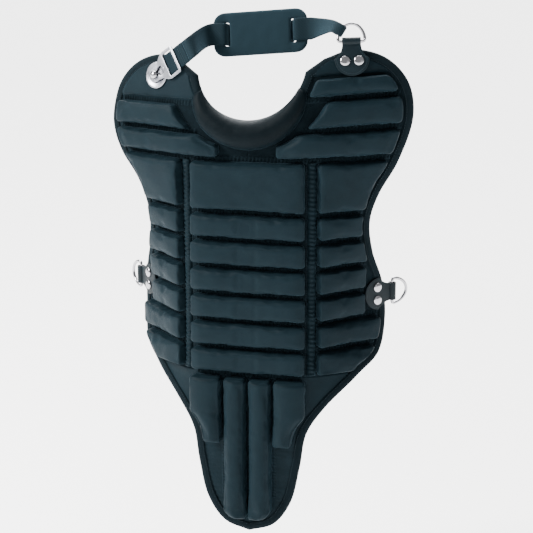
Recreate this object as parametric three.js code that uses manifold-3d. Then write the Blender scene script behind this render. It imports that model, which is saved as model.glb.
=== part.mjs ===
// A catcher's chest protector: a quilted foam vest with two side wings, a tail, a neck roll and a neck strap.
// Sizes are in millimetres. +Z is up, the front faces -Y, and left and right are as seen from the front.
// The origin is in the middle of the back face of the centre panel, where the vest rests on the chest.
//
// The soft parts are laid out flat, as they are cut and sewn, and then draped over the body. A flat place is
// (u, w, n): u is the distance across from the centre line, w is the height, and n is the height above the
// front of the backing.
import * as THREE from "three";
import { mergeVertices } from "three/addons/utils/BufferGeometryUtils.js";
import Module from "manifold-3d";

const wasm = await Module();
wasm.setup();

const GAP = 0.3; // room between two pieces that touch
const BACKING = 6; // thickness of the quilted backing
const ORIGIN_W = 110; // flat height of the origin

// How the vest wraps round the body: flat in the middle, and turned back past each vertical seam.
const FLAT_HALF = 40;
const TURN_WIDTH = 85;
const WRAP_LEAST = 12;
const WRAP_GAIN = 34;
const WRAP_HEIGHT = 60;
const WRAP_SPREAD_DOWN = 150;
const WRAP_SPREAD_UP = 250;
const SLUMP = 8; // degrees more that the left shoulder falls back
const SLUMP_START = 280;
const SLUMP_FULL = 390;
// Above this height the shoulders lean back on an arc.
const LEAN_START = 300;
const LEAN_RADIUS = 480;
// The neck strap pulls the right shoulder up a little, and the left one gives way.
const SHRUG = 0.07;
const SHRUG_START = 240;
const SHRUG_RISE = 160;

// The sewn layout.
const SEAM_U = 86; // the two vertical seams between the centre and the wings
const BAR_GAP = 8; // the sewn channel between two bars
const BAR_PITCH = 40;
const TAIL_TOP = -17; // the channel under the last bar, where the tail folds
const BARS = 6; // bars of one pitch each, below the big chest block
const CHEST_LOW = TAIL_TOP + BARS * BAR_PITCH;
const YOKE_LOW = 300; // the channel between the chest blocks and the shoulder bars
const YOKE_MID = 339;
const YOKE_HIGH = 381;
const PATCH_LOW = 412;
const BAR_HEIGHT = 16; // foam thickness of a bar
const BAR_TAPER = 4; // how far a bar's face is drawn in on each side
const PAD_REST = 2.3; // room under a pad, so that flat facets stay clear of the curved backing
const TUBE_HEIGHT = 20;
const BINDING_WIDTH = 12;
const BINDING_MARGIN = 5; // flat backing between the binding and a bar
const NECK_W = 434; // centre of the round neckline
const NECK_RADIUS = 80;
const ROLL_WIDTH = 40;
const ROLL_WIDTH_END = 17;
const ROLL_HEIGHT = 26;
const ROLL_ANGLE = 58; // degrees from the centre line to each end of the roll

// Right half of the outline, from the top of the shoulder down and round to the tip of the tail.
const SHOULDER_TOP = [142, 447];
const OUTLINE = [
  [104, 437], SHOULDER_TOP, [188, 433], [222, 397], [233, 350], [216, 292], [191, 246], [181, 205],
  [190, 158], [212, 106], [219, 52], [204, 6], [164, -24], [112, -65], [85, -103], [75, -155],
  [61, -212], [36, -247], [0, -260],
];

// Metal and leather fittings.
const WIRE_RADIUS = 2.2;
const RING_HALF = 19;
const RING_REACH = 25;
const TAB_HALF = 24;
const TAB_FOLD_HALF = 13;
const TAB_LENGTH = 48;
const TAB_THICKNESS = 2;
const TAB_REST = 4; // height of the tab's back above the backing
const RING_PLAY = 1.6; // room round the ring's bar in the fold of its tab
const RIVET_RADIUS = 7;
const RIVET_SPREAD = 9.5;
const RIVET_REACH = 27;
const WAIST_RING = [227, 92];
const SHOULDER_RING = [139, 458];
const SHOULDER_TAB_REST = 6.5;
const SHOULDER_TAB_TILT = -6; // degrees that the strap's pull lifts the tab's outer edge
const STUD = [-147, 417];
const HOOK_ANGLE = 33; // degrees that the hook points up, from level, along the strap
const WEB_WIDTH = 32;
const WEB_THICKNESS = 1.8;

const COLOURS = {
  nylon: 0x1b2529,
  lining: 0x11171a,
  binding: 0x0e1315,
  leather: 0x161c1f,
  webbing: 0x151c1f,
  padFabric: 0x1a2327,
  steel: 0xc9ccd2,
  dome: 0xe2e4e8,
};
const METALS = new Set(["steel", "dome"]);

const part = new THREE.Group();

function addMesh(name, geometry, colour) {
  const metal = METALS.has(colour);
  const material = new THREE.MeshStandardMaterial({
    color: COLOURS[colour],
    roughness: metal ? 0.25 : 0.75,
    metalness: metal ? 1 : 0,
  });
  const mesh = new THREE.Mesh(geometry, material);
  mesh.name = name;
  part.add(mesh);
  return mesh;
}

const lerp = THREE.MathUtils.lerp;
const radians = THREE.MathUtils.degToRad;

// The body that the vest is draped over.

function wrapAngle(w) {
  const spread = w < WRAP_HEIGHT ? WRAP_SPREAD_DOWN : WRAP_SPREAD_UP;
  const bell = Math.exp(-(((w - WRAP_HEIGHT) / spread) ** 2));
  return radians(WRAP_LEAST + WRAP_GAIN * bell);
}

function turnAt(distance, w, side) {
  const slump = side < 0 ? SLUMP * THREE.MathUtils.smoothstep(w, SLUMP_START, SLUMP_FULL) : 0;
  return (wrapAngle(w) + radians(slump)) * THREE.MathUtils.smoothstep(distance, FLAT_HALF, FLAT_HALF + TURN_WIDTH);
}

const TURN_STEPS = 12;

// The draped place and the three directions there: across, up and outwards.
function bodyFrame(u, w) {
  const side = Math.sign(u) || 1;
  const run = Math.abs(u) / TURN_STEPS;
  let across = 0;
  let back = 0;
  for (let i = 0; i < TURN_STEPS; i++) {
    const angle = turnAt((i + 0.5) * run, w, side);
    across += Math.cos(angle) * run;
    back += Math.sin(angle) * run;
  }
  const turn = turnAt(Math.abs(u), w, side) * side;
  const lean = Math.max(0, w - LEAN_START) / LEAN_RADIUS;
  const x = side * across;
  const level = Math.min(w, LEAN_START) - ORIGIN_W + LEAN_RADIUS * Math.sin(lean);
  const shrug = SHRUG * x * THREE.MathUtils.smoothstep(w, SHRUG_START, SHRUG_START + SHRUG_RISE);
  const y = back + LEAN_RADIUS * (1 - Math.cos(lean)) - BACKING;
  return {
    point: new THREE.Vector3(x, y, level + shrug),
    across: new THREE.Vector3(Math.cos(turn), Math.sin(turn), 0),
    up: new THREE.Vector3(0, Math.sin(lean), Math.cos(lean)),
    out: new THREE.Vector3(
      Math.sin(turn), -Math.cos(turn) * Math.cos(lean), Math.cos(turn) * Math.sin(lean),
    ),
  };
}

function bodyPoint(u, w, n) {
  const frame = bodyFrame(u, w);
  return frame.point.addScaledVector(frame.out, n);
}

// The right half of the whole outline: the round neckline from its lowest point, then the spline.
const NECK_STEP = 8; // degrees
const neckAngles = Array.from({ length: 11 }, (_, i) => radians(i * NECK_STEP));
const outlineCurve = new THREE.CatmullRomCurve3(
  OUTLINE.map(([u, w]) => new THREE.Vector3(u, w, 0)), false, "centripetal",
);
const outlinePoints = [
  ...neckAngles.map((a) => new THREE.Vector3(NECK_RADIUS * Math.sin(a), NECK_W - NECK_RADIUS * Math.cos(a), 0)),
  ...outlineCurve.getSpacedPoints(120),
];
const topIndex = outlinePoints.reduce((best, p, i) => (p.y > outlinePoints[best].y ? i : best), 0);

// A copy of the outline moved inwards by the inset.
function insetOutline(inset) {
  return outlinePoints.map((p, i) => {
    const before = outlinePoints[Math.max(i - 1, 0)];
    const after = outlinePoints[Math.min(i + 1, outlinePoints.length - 1)];
    const along = after.clone().sub(before).normalize();
    return new THREE.Vector3(p.x + along.y * inset, p.y - along.x * inset, 0);
  });
}

// Where a run of points crosses a height, as a distance from the centre line.
function crossing(points, w) {
  for (let i = 1; i < points.length; i++) {
    const [a, b] = [points[i - 1], points[i]];
    if ((a.y - w) * (b.y - w) <= 0 && a.y !== b.y) return lerp(a.x, b.x, (w - a.y) / (b.y - a.y));
  }
  return Math.abs(w - points[0].y) < Math.abs(w - points.at(-1).y) ? points[0].x : points.at(-1).x;
}

// Distance from the centre line to the outer edge of the vest at a height, less an inset.
const halfWidth = (w, inset) => crossing(insetOutline(inset).slice(topIndex), w);

// Distance from the centre line to the neck side of a shoulder at a height, plus an inset.
const neckSide = (w, inset) => crossing(insetOutline(inset).slice(0, topIndex + 1), w);

// Distance from the centre line to the round neckline at a height, with the circle grown by an inset.
function neckHalf(w, inset) {
  const radius = NECK_RADIUS + inset;
  return Math.sqrt(Math.max(radius * radius - (NECK_W - w) ** 2, 0));
}

// A box cut into columns and rows, bent by place(s, t, q), where s, t and q run from 0 to 1.
function bentBox(columns, rows, place) {
  const geometry = new THREE.BoxGeometry(1, 1, 1, columns, rows, 1);
  const position = geometry.getAttribute("position");
  for (let i = 0; i < position.count; i++) {
    const p = place(position.getX(i) + 0.5, position.getY(i) + 0.5, position.getZ(i) + 0.5);
    position.setXYZ(i, p.x, p.y, p.z);
  }
  geometry.computeVertexNormals();
  return geometry;
}

// A draped slab between two heights. Its sides are functions of the height, and its face can be drawn in.
function drapedSlab({ low, high, from, to, back, front, taper = 0, columns, rows = 1 }) {
  return bentBox(columns, rows, (s, t, q) => {
    const w = lerp(low + q * taper, high - q * taper, t);
    const u = lerp(from(w) + q * taper, to(w) - q * taper, s);
    return bodyPoint(u, w, lerp(back, front, q));
  });
}

const at = (value) => () => value;
const mirrored = (side, near, far) => (side > 0 ? [near, far] : [(w) => -far(w), (w) => -near(w)]);
const SIDES = [["left", -1], ["right", 1]];

// Pads: bars, blocks and tubes.

function addPad(name, low, high, [from, to], columns, height = BAR_HEIGHT) {
  const half = BAR_GAP / 2;
  const slab = { low: low + half, high: high - half, from, to, columns };
  addMesh(name, drapedSlab({ ...slab, back: PAD_REST, front: height, taper: BAR_TAPER }), "nylon");
}

const PAD_INSET = BINDING_WIDTH + BINDING_MARGIN;

function addCentrePads() {
  const half = SEAM_U - 6;
  const sides = [at(-half), at(half)];
  addPad("chest_block", CHEST_LOW, YOKE_LOW, sides, 8);
  for (let i = 0; i < BARS; i++) {
    const low = CHEST_LOW - (i + 1) * BAR_PITCH;
    addPad(`centre_bar_${i + 1}`, low, low + BAR_PITCH, sides, 8);
  }
}

// The wing bars stop short of the waist tab where it lies over their outer ends.
function wingEdge(w) {
  const edge = halfWidth(w, PAD_INSET);
  const beside = Math.abs(w - WAIST_RING[1]) < TAB_HALF + 8;
  return beside ? Math.min(edge, WAIST_RING[0] - TAB_LENGTH - 4) : edge;
}

function addWingPads(name, side) {
  const sides = mirrored(side, at(SEAM_U + 12), wingEdge);
  addPad(`wing_block_${name}`, CHEST_LOW, YOKE_LOW, sides, 5);
  for (let i = 0; i < BARS; i++) {
    const low = CHEST_LOW - (i + 1) * BAR_PITCH;
    addPad(`wing_bar_${name}_${i + 1}`, low, low + BAR_PITCH, sides, 5);
  }
}

function addShoulderPads(name, side) {
  const outer = (w) => halfWidth(w, PAD_INSET);
  const nearest = 42; // the lowest bars stop short of the centre, under the roll
  const besideRoll = (w) => Math.max(neckHalf(w, ROLL_WIDTH) + 4, nearest);
  const besideNeck = (w) => neckHalf(w, PAD_INSET);
  addPad(`shoulder_bar_${name}_low`, YOKE_LOW, YOKE_MID, mirrored(side, besideRoll, outer), 6);
  addPad(`shoulder_bar_${name}_mid`, YOKE_MID, YOKE_HIGH, mirrored(side, besideRoll, outer), 6);
  // The left shoulder has a flat patch for the stud in the place of its top bar.
  if (side > 0) {
    addPad(`shoulder_bar_${name}_top`, YOKE_HIGH, PATCH_LOW, mirrored(side, besideNeck, outer), 6);
  }
}

// Four upright tubes: a long pair in the middle, and a short one on each side that fills the slope.
function addTailTubes(name, side) {
  const tubePitch = 37;
  const half = BAR_GAP / 2;
  const top = TAIL_TOP - 2;
  const edge = (w) => halfWidth(w, PAD_INSET);
  const inner = mirrored(side, at(half), (w) => Math.min(tubePitch - half, edge(w)));
  const outer = mirrored(side, at(tubePitch + half), (w) => Math.min(SEAM_U - half, edge(w)));
  const tube = (piece, low, sides, rows) => {
    const slab = { low, high: top - half, from: sides[0], to: sides[1], columns: 3, rows };
    addMesh(piece, drapedSlab({ ...slab, back: PAD_REST, front: TUBE_HEIGHT, taper: BAR_TAPER }), "nylon");
  };
  tube(`tail_tube_long_${name}`, -238, inner, 6);
  tube(`tail_tube_short_${name}`, -122, outer, 3);
}

// The neck roll is bent round the neckline, and gets thinner towards both ends.
function addNeckRoll() {
  const geometry = bentBox(14, 1, (s, t, q) => {
    const angle = radians(lerp(-ROLL_ANGLE, ROLL_ANGLE, s));
    const fullness = Math.cos((angle / radians(ROLL_ANGLE)) * (Math.PI / 2));
    const width = lerp(ROLL_WIDTH_END, ROLL_WIDTH, fullness);
    const taper = q * width * 0.2;
    const radius = lerp(NECK_RADIUS + width - taper, NECK_RADIUS + taper, t);
    const height = lerp(PAD_REST, lerp(ROLL_HEIGHT * 0.5, ROLL_HEIGHT, fullness), q);
    return bodyPoint(radius * Math.sin(angle), NECK_W - radius * Math.cos(angle), height);
  });
  addMesh("neck_roll", geometry, "nylon");
}

// Backing panels, each a quilted sheet behind its pads.

const BACKING_INSET = BINDING_WIDTH + 2;

function addBackings() {
  const sheet = { back: -BACKING, front: 0 };
  const edge = (w) => halfWidth(w, BACKING_INSET);
  const seam = 1.25; // half of the flexible joint at a seam
  addMesh("backing_centre", drapedSlab({
    ...sheet, low: TAIL_TOP + seam, high: YOKE_LOW - GAP, from: at(-SEAM_U + seam), to: at(SEAM_U - seam),
    columns: 8, rows: 2,
  }), "lining");
  for (const [name, side] of SIDES) {
    const [from, to] = mirrored(side, at(SEAM_U + seam), edge);
    addMesh(`backing_wing_${name}`, drapedSlab({
      ...sheet, low: TAIL_TOP + seam, high: YOKE_LOW - seam, from, to, columns: 4, rows: 10,
    }), "lining");
  }
  addMesh("backing_tail", drapedSlab({
    ...sheet, low: -246, high: TAIL_TOP - seam, from: (w) => -edge(w), to: edge, columns: 10, rows: 10,
  }), "lining");
  addMesh("backing_yoke", yokeBacking(sheet, edge), "lining");
}

// The yoke is a band across the chest with a lobe over each shoulder, made as two halves that meet in the middle.
function yokeBacking(sheet, edge) {
  const bandTop = NECK_W - NECK_RADIUS;
  const inner = (w) => (w <= bandTop ? 0 : neckSide(w, lobeInset(w)));
  const halves = SIDES.map(([, side]) => {
    const [from, to] = mirrored(side, inner, edge);
    const high = outlinePoints[topIndex].y - BACKING_INSET - 1;
    return drapedSlab({ ...sheet, low: YOKE_LOW + GAP, high, from, to, columns: 8, rows: 10 });
  });
  return joined(halves);
}

// The backing reaches the neckline under the roll, and stops at the binding above it.
function lobeInset(w) {
  return BACKING_INSET * THREE.MathUtils.smoothstep(w, 362, 390);
}

// Binding: a tape folded over the raw edge, in one run for each part that moves.

function bindingRun(points, segments) {
  return bentBox(segments, 1, (s, t, q) => {
    const reach = s * (points.length - 1);
    const i = Math.min(Math.floor(reach), points.length - 2);
    const along = points[i + 1].clone().sub(points[i]);
    const p = points[i].clone().addScaledVector(along, reach - i);
    along.normalize();
    const inwards = (1 - t) * (BINDING_WIDTH - GAP);
    return bodyPoint(
      p.x + along.y * inwards, p.y - along.x * inwards, lerp(-BACKING - 1, 1, q),
    );
  });
}

// The outer edge's points from one height down to another.
function outerRun(high, low) {
  const outer = outlinePoints.slice(topIndex);
  const end = (w) => new THREE.Vector3(crossing(outer, w), w, 0);
  return [end(high), ...outer.filter((p) => p.y < high && p.y > low), end(low)];
}

function mirrorPoints(points) {
  return points.map((p) => new THREE.Vector3(-p.x, p.y, 0)).reverse();
}

function addBindings() {
  const firstAngle = 8; // the first of the neckline's points that the roll leaves bare
  const neckwards = outlinePoints.slice(firstAngle, topIndex);
  const shoulder = [...neckwards, ...outerRun(outlinePoints[topIndex].y, YOKE_LOW + GAP)];
  const wing = outerRun(YOKE_LOW - GAP, TAIL_TOP + 1);
  const tailHalf = outerRun(TAIL_TOP - 1, outlinePoints.at(-1).y);
  const tail = [...tailHalf, ...mirrorPoints(tailHalf.slice(0, -1))];
  for (const [name, side] of SIDES) {
    const sided = (points) => (side > 0 ? points : mirrorPoints(points));
    addMesh(`binding_shoulder_${name}`, bindingRun(sided(shoulder), 24), "binding");
    addMesh(`binding_wing_${name}`, bindingRun(sided(wing), 14), "binding");
  }
  addMesh("binding_tail", bindingRun(tail, 32), "binding");
}

// Solids joined and cut.

function solid(geometry) {
  const bare = geometry.clone();
  bare.deleteAttribute("normal");
  bare.deleteAttribute("uv");
  const merged = mergeVertices(bare, 1e-3);
  return new wasm.Manifold(new wasm.Mesh({
    numProp: 3,
    vertProperties: new Float32Array(merged.getAttribute("position").array),
    triVerts: new Uint32Array(merged.index.array),
  }));
}

function meshGeometry(manifold) {
  const mesh = manifold.getMesh();
  const geometry = new THREE.BufferGeometry();
  geometry.setAttribute("position", new THREE.BufferAttribute(mesh.vertProperties, 3));
  geometry.setIndex(new THREE.BufferAttribute(mesh.triVerts, 1));
  geometry.computeVertexNormals();
  return geometry;
}

function joined(geometries) {
  return meshGeometry(geometries.map(solid).reduce((a, b) => a.add(b)));
}

// Fittings stand in a frame of their own: +Y points away from the vest's middle, along the strap or ring that
// the fitting holds, and +Z points out of the fabric.
function fittingMatrix([u, w], rest, degrees, tilt = 0) {
  const frame = bodyFrame(u, w);
  const turn = new THREE.Matrix4().makeRotationZ(radians(degrees))
    .multiply(new THREE.Matrix4().makeRotationY(radians(tilt)));
  const origin = frame.point.addScaledVector(frame.out, rest);
  const side = frame.up.clone().cross(frame.out).normalize();
  const up = frame.out.clone().cross(side);
  return new THREE.Matrix4().makeBasis(side, up, frame.out).setPosition(origin).multiply(turn);
}

// A D ring: a straight bar along X through its frame's origin, and a bow towards +Y. The wire's facets are
// mitred where one straight piece of it meets the next, so each facet is flat.
function ringGeometry() {
  const stations = 13;
  const path = Array.from({ length: stations }, (_, i) => {
    const angle = Math.PI * i / (stations - 1);
    return new THREE.Vector2(RING_HALF * Math.cos(angle), RING_REACH * Math.sin(angle));
  });
  const sideways = (from, to) => new THREE.Vector2(to.y - from.y, from.x - to.x).normalize();
  const plain = RING_HALF; // radius of the plain ring whose points are moved onto the path
  const geometry = new THREE.TorusGeometry(plain, WIRE_RADIUS, 6, stations);
  const position = geometry.getAttribute("position");
  for (let i = 0; i < position.count; i++) {
    const station = i % (stations + 1) % stations;
    const here = path[station];
    const before = sideways(path[(station + stations - 1) % stations], here);
    const after = sideways(here, path[(station + 1) % stations]);
    const reach = Math.hypot(position.getX(i), position.getY(i)) - plain;
    const mitre = before.clone().add(after).multiplyScalar(reach / (1 + before.dot(after)));
    position.setXYZ(i, here.x + mitre.x, here.y + mitre.y, position.getZ(i));
  }
  return geometry;
}

// A leather tab: a round-ended leaf hanging from a sleeve that is folded round the ring's bar.
function tabGeometry() {
  const shape = new THREE.Shape();
  const shoulder = -16;
  const roundStart = -TAB_LENGTH + TAB_HALF;
  shape.moveTo(-TAB_FOLD_HALF, -WIRE_RADIUS);
  shape.quadraticCurveTo(-TAB_FOLD_HALF, shoulder, -TAB_HALF, roundStart);
  shape.absarc(0, roundStart, TAB_HALF, Math.PI, 2 * Math.PI, false);
  shape.quadraticCurveTo(TAB_FOLD_HALF, shoulder, TAB_FOLD_HALF, -WIRE_RADIUS);
  const leaf = new THREE.ExtrudeGeometry(shape, {
    depth: TAB_THICKNESS, bevelEnabled: false, curveSegments: 8,
  });
  const sleeveInner = WIRE_RADIUS + RING_PLAY;
  const sleeveOuter = sleeveInner + TAB_THICKNESS;
  const bore = new THREE.CylinderGeometry(sleeveInner, sleeveInner, 4 * TAB_HALF, 10);
  const sleeve = new THREE.CylinderGeometry(sleeveOuter, sleeveOuter, 2 * TAB_FOLD_HALF, 10);
  for (const cylinder of [bore, sleeve]) cylinder.rotateZ(Math.PI / 2);
  return meshGeometry(solid(leaf).add(solid(sleeve)).subtract(solid(bore)));
}

// A rivet's domed cap.
function rivetGeometry() {
  const rise = 3.4;
  const profile = [
    [0, 0], [RIVET_RADIUS, 0], [RIVET_RADIUS, 0.8], [RIVET_RADIUS * 0.75, rise * 0.8], [0, rise],
  ];
  const points = profile.map(([r, z]) => new THREE.Vector2(r, z));
  return new THREE.LatheGeometry(points, 14).rotateX(Math.PI / 2);
}

// One ring with the tab and the two rivets that hold it.
function addRingSet(names, matrix) {
  addMesh(names.ring, ringGeometry().applyMatrix4(matrix), "steel");
  addMesh(names.tab, tabGeometry().applyMatrix4(matrix), "leather");
  [-1, 1].forEach((sign, i) => {
    const rivet = rivetGeometry();
    rivet.translate(sign * RIVET_SPREAD, -RIVET_REACH, TAB_THICKNESS + GAP);
    addMesh(`${names.rivet}_${i + 1}`, rivet.applyMatrix4(matrix), "dome");
  });
}

// The stud, its washer and the keyhole hook that it holds.

const WASHER_RADIUS = 19;
const WASHER_REST = 1.8;
const WASHER_RIM = 3;
const HOOK_THICKNESS = 2;
const HOOK_REST = WASHER_REST + WASHER_RIM + GAP;
const HOOK_LENGTH = 45;
const FRAME_START = 21;
const FRAME_HALF = 21.5;
const FRAME_WALL = 4.5;
const KEYHOLE_REACH = 12;

function latheOnZ(profile, segments) {
  return new THREE.LatheGeometry(profile.map(([r, z]) => new THREE.Vector2(r, z)), segments)
    .rotateX(Math.PI / 2);
}

function addStud() {
  const matrix = fittingMatrix(STUD, 0, HOOK_ANGLE - 90);
  const low = WASHER_REST;
  const high = WASHER_REST + WASHER_RIM;
  const washer = latheOnZ([
    [0, low], [WASHER_RADIUS, low], [WASHER_RADIUS, high - 1], [WASHER_RADIUS - 1.5, high],
    [12, high - 1.2], [0, high - 1.2],
  ], 24);
  addMesh("stud_washer", washer.applyMatrix4(matrix), "steel");
  const foot = high - 1.2 + GAP;
  const neck = 2.8;
  const head = 6;
  const headLow = HOOK_REST + HOOK_THICKNESS + 0.4;
  const stud = latheOnZ([
    [0, foot], [neck, foot], [neck, headLow], [head - 1, headLow], [head, headLow + 1.5],
    [head * 0.8, headLow + 4], [0, headLow + 5.6],
  ], 16);
  addMesh("stud", stud.applyMatrix4(matrix), "dome");
}

// The hook in its frame: the stud at the origin, the strap towards +Y.
function hookGeometry() {
  const tip = 10.5;
  const corner = 5;
  const shape = new THREE.Shape();
  shape.moveTo(-FRAME_HALF, FRAME_START + corner);
  shape.quadraticCurveTo(-FRAME_HALF + 1, FRAME_START - 2, -13, 12);
  shape.quadraticCurveTo(-tip, 7, -tip, 0);
  shape.absarc(0, 0, tip, Math.PI, 2 * Math.PI, false);
  shape.quadraticCurveTo(tip, 7, 13, 12);
  shape.quadraticCurveTo(FRAME_HALF - 1, FRAME_START - 2, FRAME_HALF, FRAME_START + corner);
  shape.lineTo(FRAME_HALF, HOOK_LENGTH - corner);
  shape.quadraticCurveTo(FRAME_HALF, HOOK_LENGTH, FRAME_HALF - corner, HOOK_LENGTH);
  shape.lineTo(-FRAME_HALF + corner, HOOK_LENGTH);
  shape.quadraticCurveTo(-FRAME_HALF, HOOK_LENGTH, -FRAME_HALF, HOOK_LENGTH - corner);
  const window = new THREE.Path();
  const windowHalf = FRAME_HALF - FRAME_WALL;
  const windowLow = FRAME_START + FRAME_WALL - 1;
  const windowHigh = HOOK_LENGTH - FRAME_WALL;
  window.moveTo(-windowHalf, windowLow);
  window.lineTo(windowHalf, windowLow);
  window.lineTo(windowHalf, windowHigh);
  window.lineTo(-windowHalf, windowHigh);
  const slotHalf = 3.6;
  const mouth = 6.6;
  const keyhole = new THREE.Path();
  const meet = Math.asin(slotHalf / mouth);
  keyhole.absarc(0, 0, slotHalf, Math.PI, 2 * Math.PI, false);
  keyhole.absarc(0, KEYHOLE_REACH, mouth, -Math.PI / 2 + meet, 1.5 * Math.PI - meet, false);
  shape.holes.push(window, keyhole);
  return new THREE.ExtrudeGeometry(shape, {
    depth: HOOK_THICKNESS, bevelEnabled: false, curveSegments: 8,
  });
}

// The neck strap. It starts at the end of the doubled webbing and ends in a loop round the right ring's bow.

// A ribbon through stations, each with its place, the direction of its width there and the width.
function ribbon(stations, thickness, steps) {
  const last = stations.length - 1;
  const curve = new THREE.CatmullRomCurve3(stations.map((station) => station.place), false, "centripetal");
  return bentBox(last * steps, 1, (s, t, q) => {
    const i = Math.min(Math.floor(s * last), last - 1);
    const [before, after] = [stations[i], stations[i + 1]];
    const across = before.across.clone().lerp(after.across, s * last - i).normalize();
    const width = lerp(before.width, after.width, s * last - i);
    const face = curve.getTangent(s).cross(across).normalize();
    return curve.getPoint(s).addScaledVector(across, (t - 0.5) * width)
      .addScaledVector(face, (q - 0.5) * thickness);
  });
}

const PAD_CENTRE = new THREE.Vector3(-1.6, 75, 356);
const PAD_TILT = 6; // degrees that the pad rises to the right
const PAD_LEAN = 18;
const PAD_HALF_LENGTH = 67;
const PAD_HALF_WIDTH = 31;
const PAD_THICKNESS = 9;
const PAD_CORNER = 17;
const SLOT_REACH = 48;
const SLOT_HALF_WIDTH = 4.4;
const SLOT_HALF_LENGTH = 18.5;

function padMatrix() {
  const lean = new THREE.Matrix4().makeRotationX(radians(90 - PAD_LEAN));
  const tilt = new THREE.Matrix4().makeRotationZ(radians(PAD_TILT));
  return new THREE.Matrix4().setPosition(PAD_CENTRE).multiply(lean).multiply(tilt);
}

function addNeckPad() {
  const l = PAD_HALF_LENGTH;
  const h = PAD_HALF_WIDTH;
  const c = PAD_CORNER;
  const shape = new THREE.Shape();
  shape.absarc(l - c, -h + c, c, -Math.PI / 2, 0, false);
  shape.absarc(l - c, h - c, c, 0, Math.PI / 2, false);
  shape.absarc(-l + c, h - c, c, Math.PI / 2, Math.PI, false);
  shape.absarc(-l + c, -h + c, c, Math.PI, 1.5 * Math.PI, false);
  const plate = new THREE.ExtrudeGeometry(shape, {
    depth: PAD_THICKNESS, bevelEnabled: false, curveSegments: 5,
  });
  plate.translate(0, 0, -PAD_THICKNESS / 2);
  const slots = [-1, 1].map((sign) => {
    const slot = new THREE.BoxGeometry(2 * SLOT_HALF_WIDTH, 2 * SLOT_HALF_LENGTH, 2 * PAD_THICKNESS);
    return solid(slot.translate(sign * SLOT_REACH, 0, 0));
  });
  const geometry = meshGeometry(solid(plate).subtract(slots[0]).subtract(slots[1]));
  addMesh("neck_pad", geometry.applyMatrix4(padMatrix()), "padFabric");
}

const WEB_JOIN = 62; // distance from the stud to the end of the doubled webbing
const FOLD_THICKNESS = 2.6;
const FOLD_REST = HOOK_REST - GAP - FOLD_THICKNESS / 2;
const LOOP_CENTRE = [-14.6, 16.1]; // where the webbing loops round the ring's bow, in the ring's frame
const LOOP_TILT = 57; // degrees from the ring's bar to the bow there
const LOOP_RADIUS = 5.0;
const LOOP_WIDTH = 16; // the webbing bunches up in the ring

// Stations given in a frame, with their width along one of its directions.
function stationsIn(matrix, direction, width, places) {
  const across = new THREE.Vector3(...direction).transformDirection(matrix);
  return places.map((place) => ({ place: new THREE.Vector3(...place).applyMatrix4(matrix), across, width }));
}

// The strap swings about the line from the end of the doubled webbing to the bar of the right ring, so the ring
// is turned in its tab until its bar lies nearly along that line.
function shoulderRingMatrix() {
  const hook = fittingMatrix(STUD, 0, HOOK_ANGLE - 90);
  const join = new THREE.Vector3(0, WEB_JOIN, FOLD_REST).applyMatrix4(hook);
  const frame = bodyFrame(...SHOULDER_RING);
  const line = frame.point.clone().addScaledVector(frame.out, SHOULDER_TAB_REST).sub(join);
  const turn = THREE.MathUtils.radToDeg(Math.atan2(line.dot(frame.up), line.dot(frame.across)));
  return fittingMatrix(SHOULDER_RING, SHOULDER_TAB_REST, turn, SHOULDER_TAB_TILT);
}

// The webbing goes over the pad's left end, down through the slot, behind the pad and out again.
function webbingStations() {
  const hook = fittingMatrix(STUD, 0, HOOK_ANGLE - 90);
  const ring = shoulderRingMatrix();
  const clear = PAD_THICKNESS / 2 + WEB_THICKNESS / 2 + 1;
  const dip = 3; // how far the webbing travels sideways while it goes through a slot
  const overPad = [
    [-PAD_HALF_LENGTH - 4, clear + 1], [-SLOT_REACH - dip, clear], [-SLOT_REACH + dip, -clear],
    [0, -clear], [SLOT_REACH - dip, -clear], [SLOT_REACH + dip, clear], [PAD_HALF_LENGTH + 6, clear],
  ];
  const afterJoin = [2.5, 14].map((reach) => [0, WEB_JOIN + reach, FOLD_REST]);
  const bow = ring.clone()
    .multiply(new THREE.Matrix4().makeTranslation(LOOP_CENTRE[0], LOOP_CENTRE[1], 0))
    .multiply(new THREE.Matrix4().makeRotationZ(radians(LOOP_TILT)));
  const r = LOOP_RADIUS;
  const loop = [
    [0, r + 3, r - 3], [0, 0, r], [0, -r * Math.SQRT1_2, r * Math.SQRT1_2], [0, -r, 0],
    [0, -r * Math.SQRT1_2, -r * Math.SQRT1_2], [0, 0, -r], [0, r + 5, -r - 3],
  ];
  return [
    ...stationsIn(hook, [-1, 0, 0], WEB_WIDTH, afterJoin),
    ...stationsIn(padMatrix(), [0, 1, 0], WEB_WIDTH, overPad.map(([x, z]) => [x, 0, z])),
    ...stationsIn(bow, [1, 0, 0], LOOP_WIDTH, loop),
  ];
}

function addWebbing() {
  const hook = fittingMatrix(STUD, 0, HOOK_ANGLE - 90);
  const doubled = new THREE.BoxGeometry(WEB_WIDTH, WEB_JOIN - FRAME_START - 1, FOLD_THICKNESS);
  doubled.translate(0, (WEB_JOIN + FRAME_START) / 2, FOLD_REST);
  addMesh("webbing_fold", doubled.applyMatrix4(hook), "webbing");
  addMesh("neck_webbing", ribbon(webbingStations(), WEB_THICKNESS, 4), "webbing");
}

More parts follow.
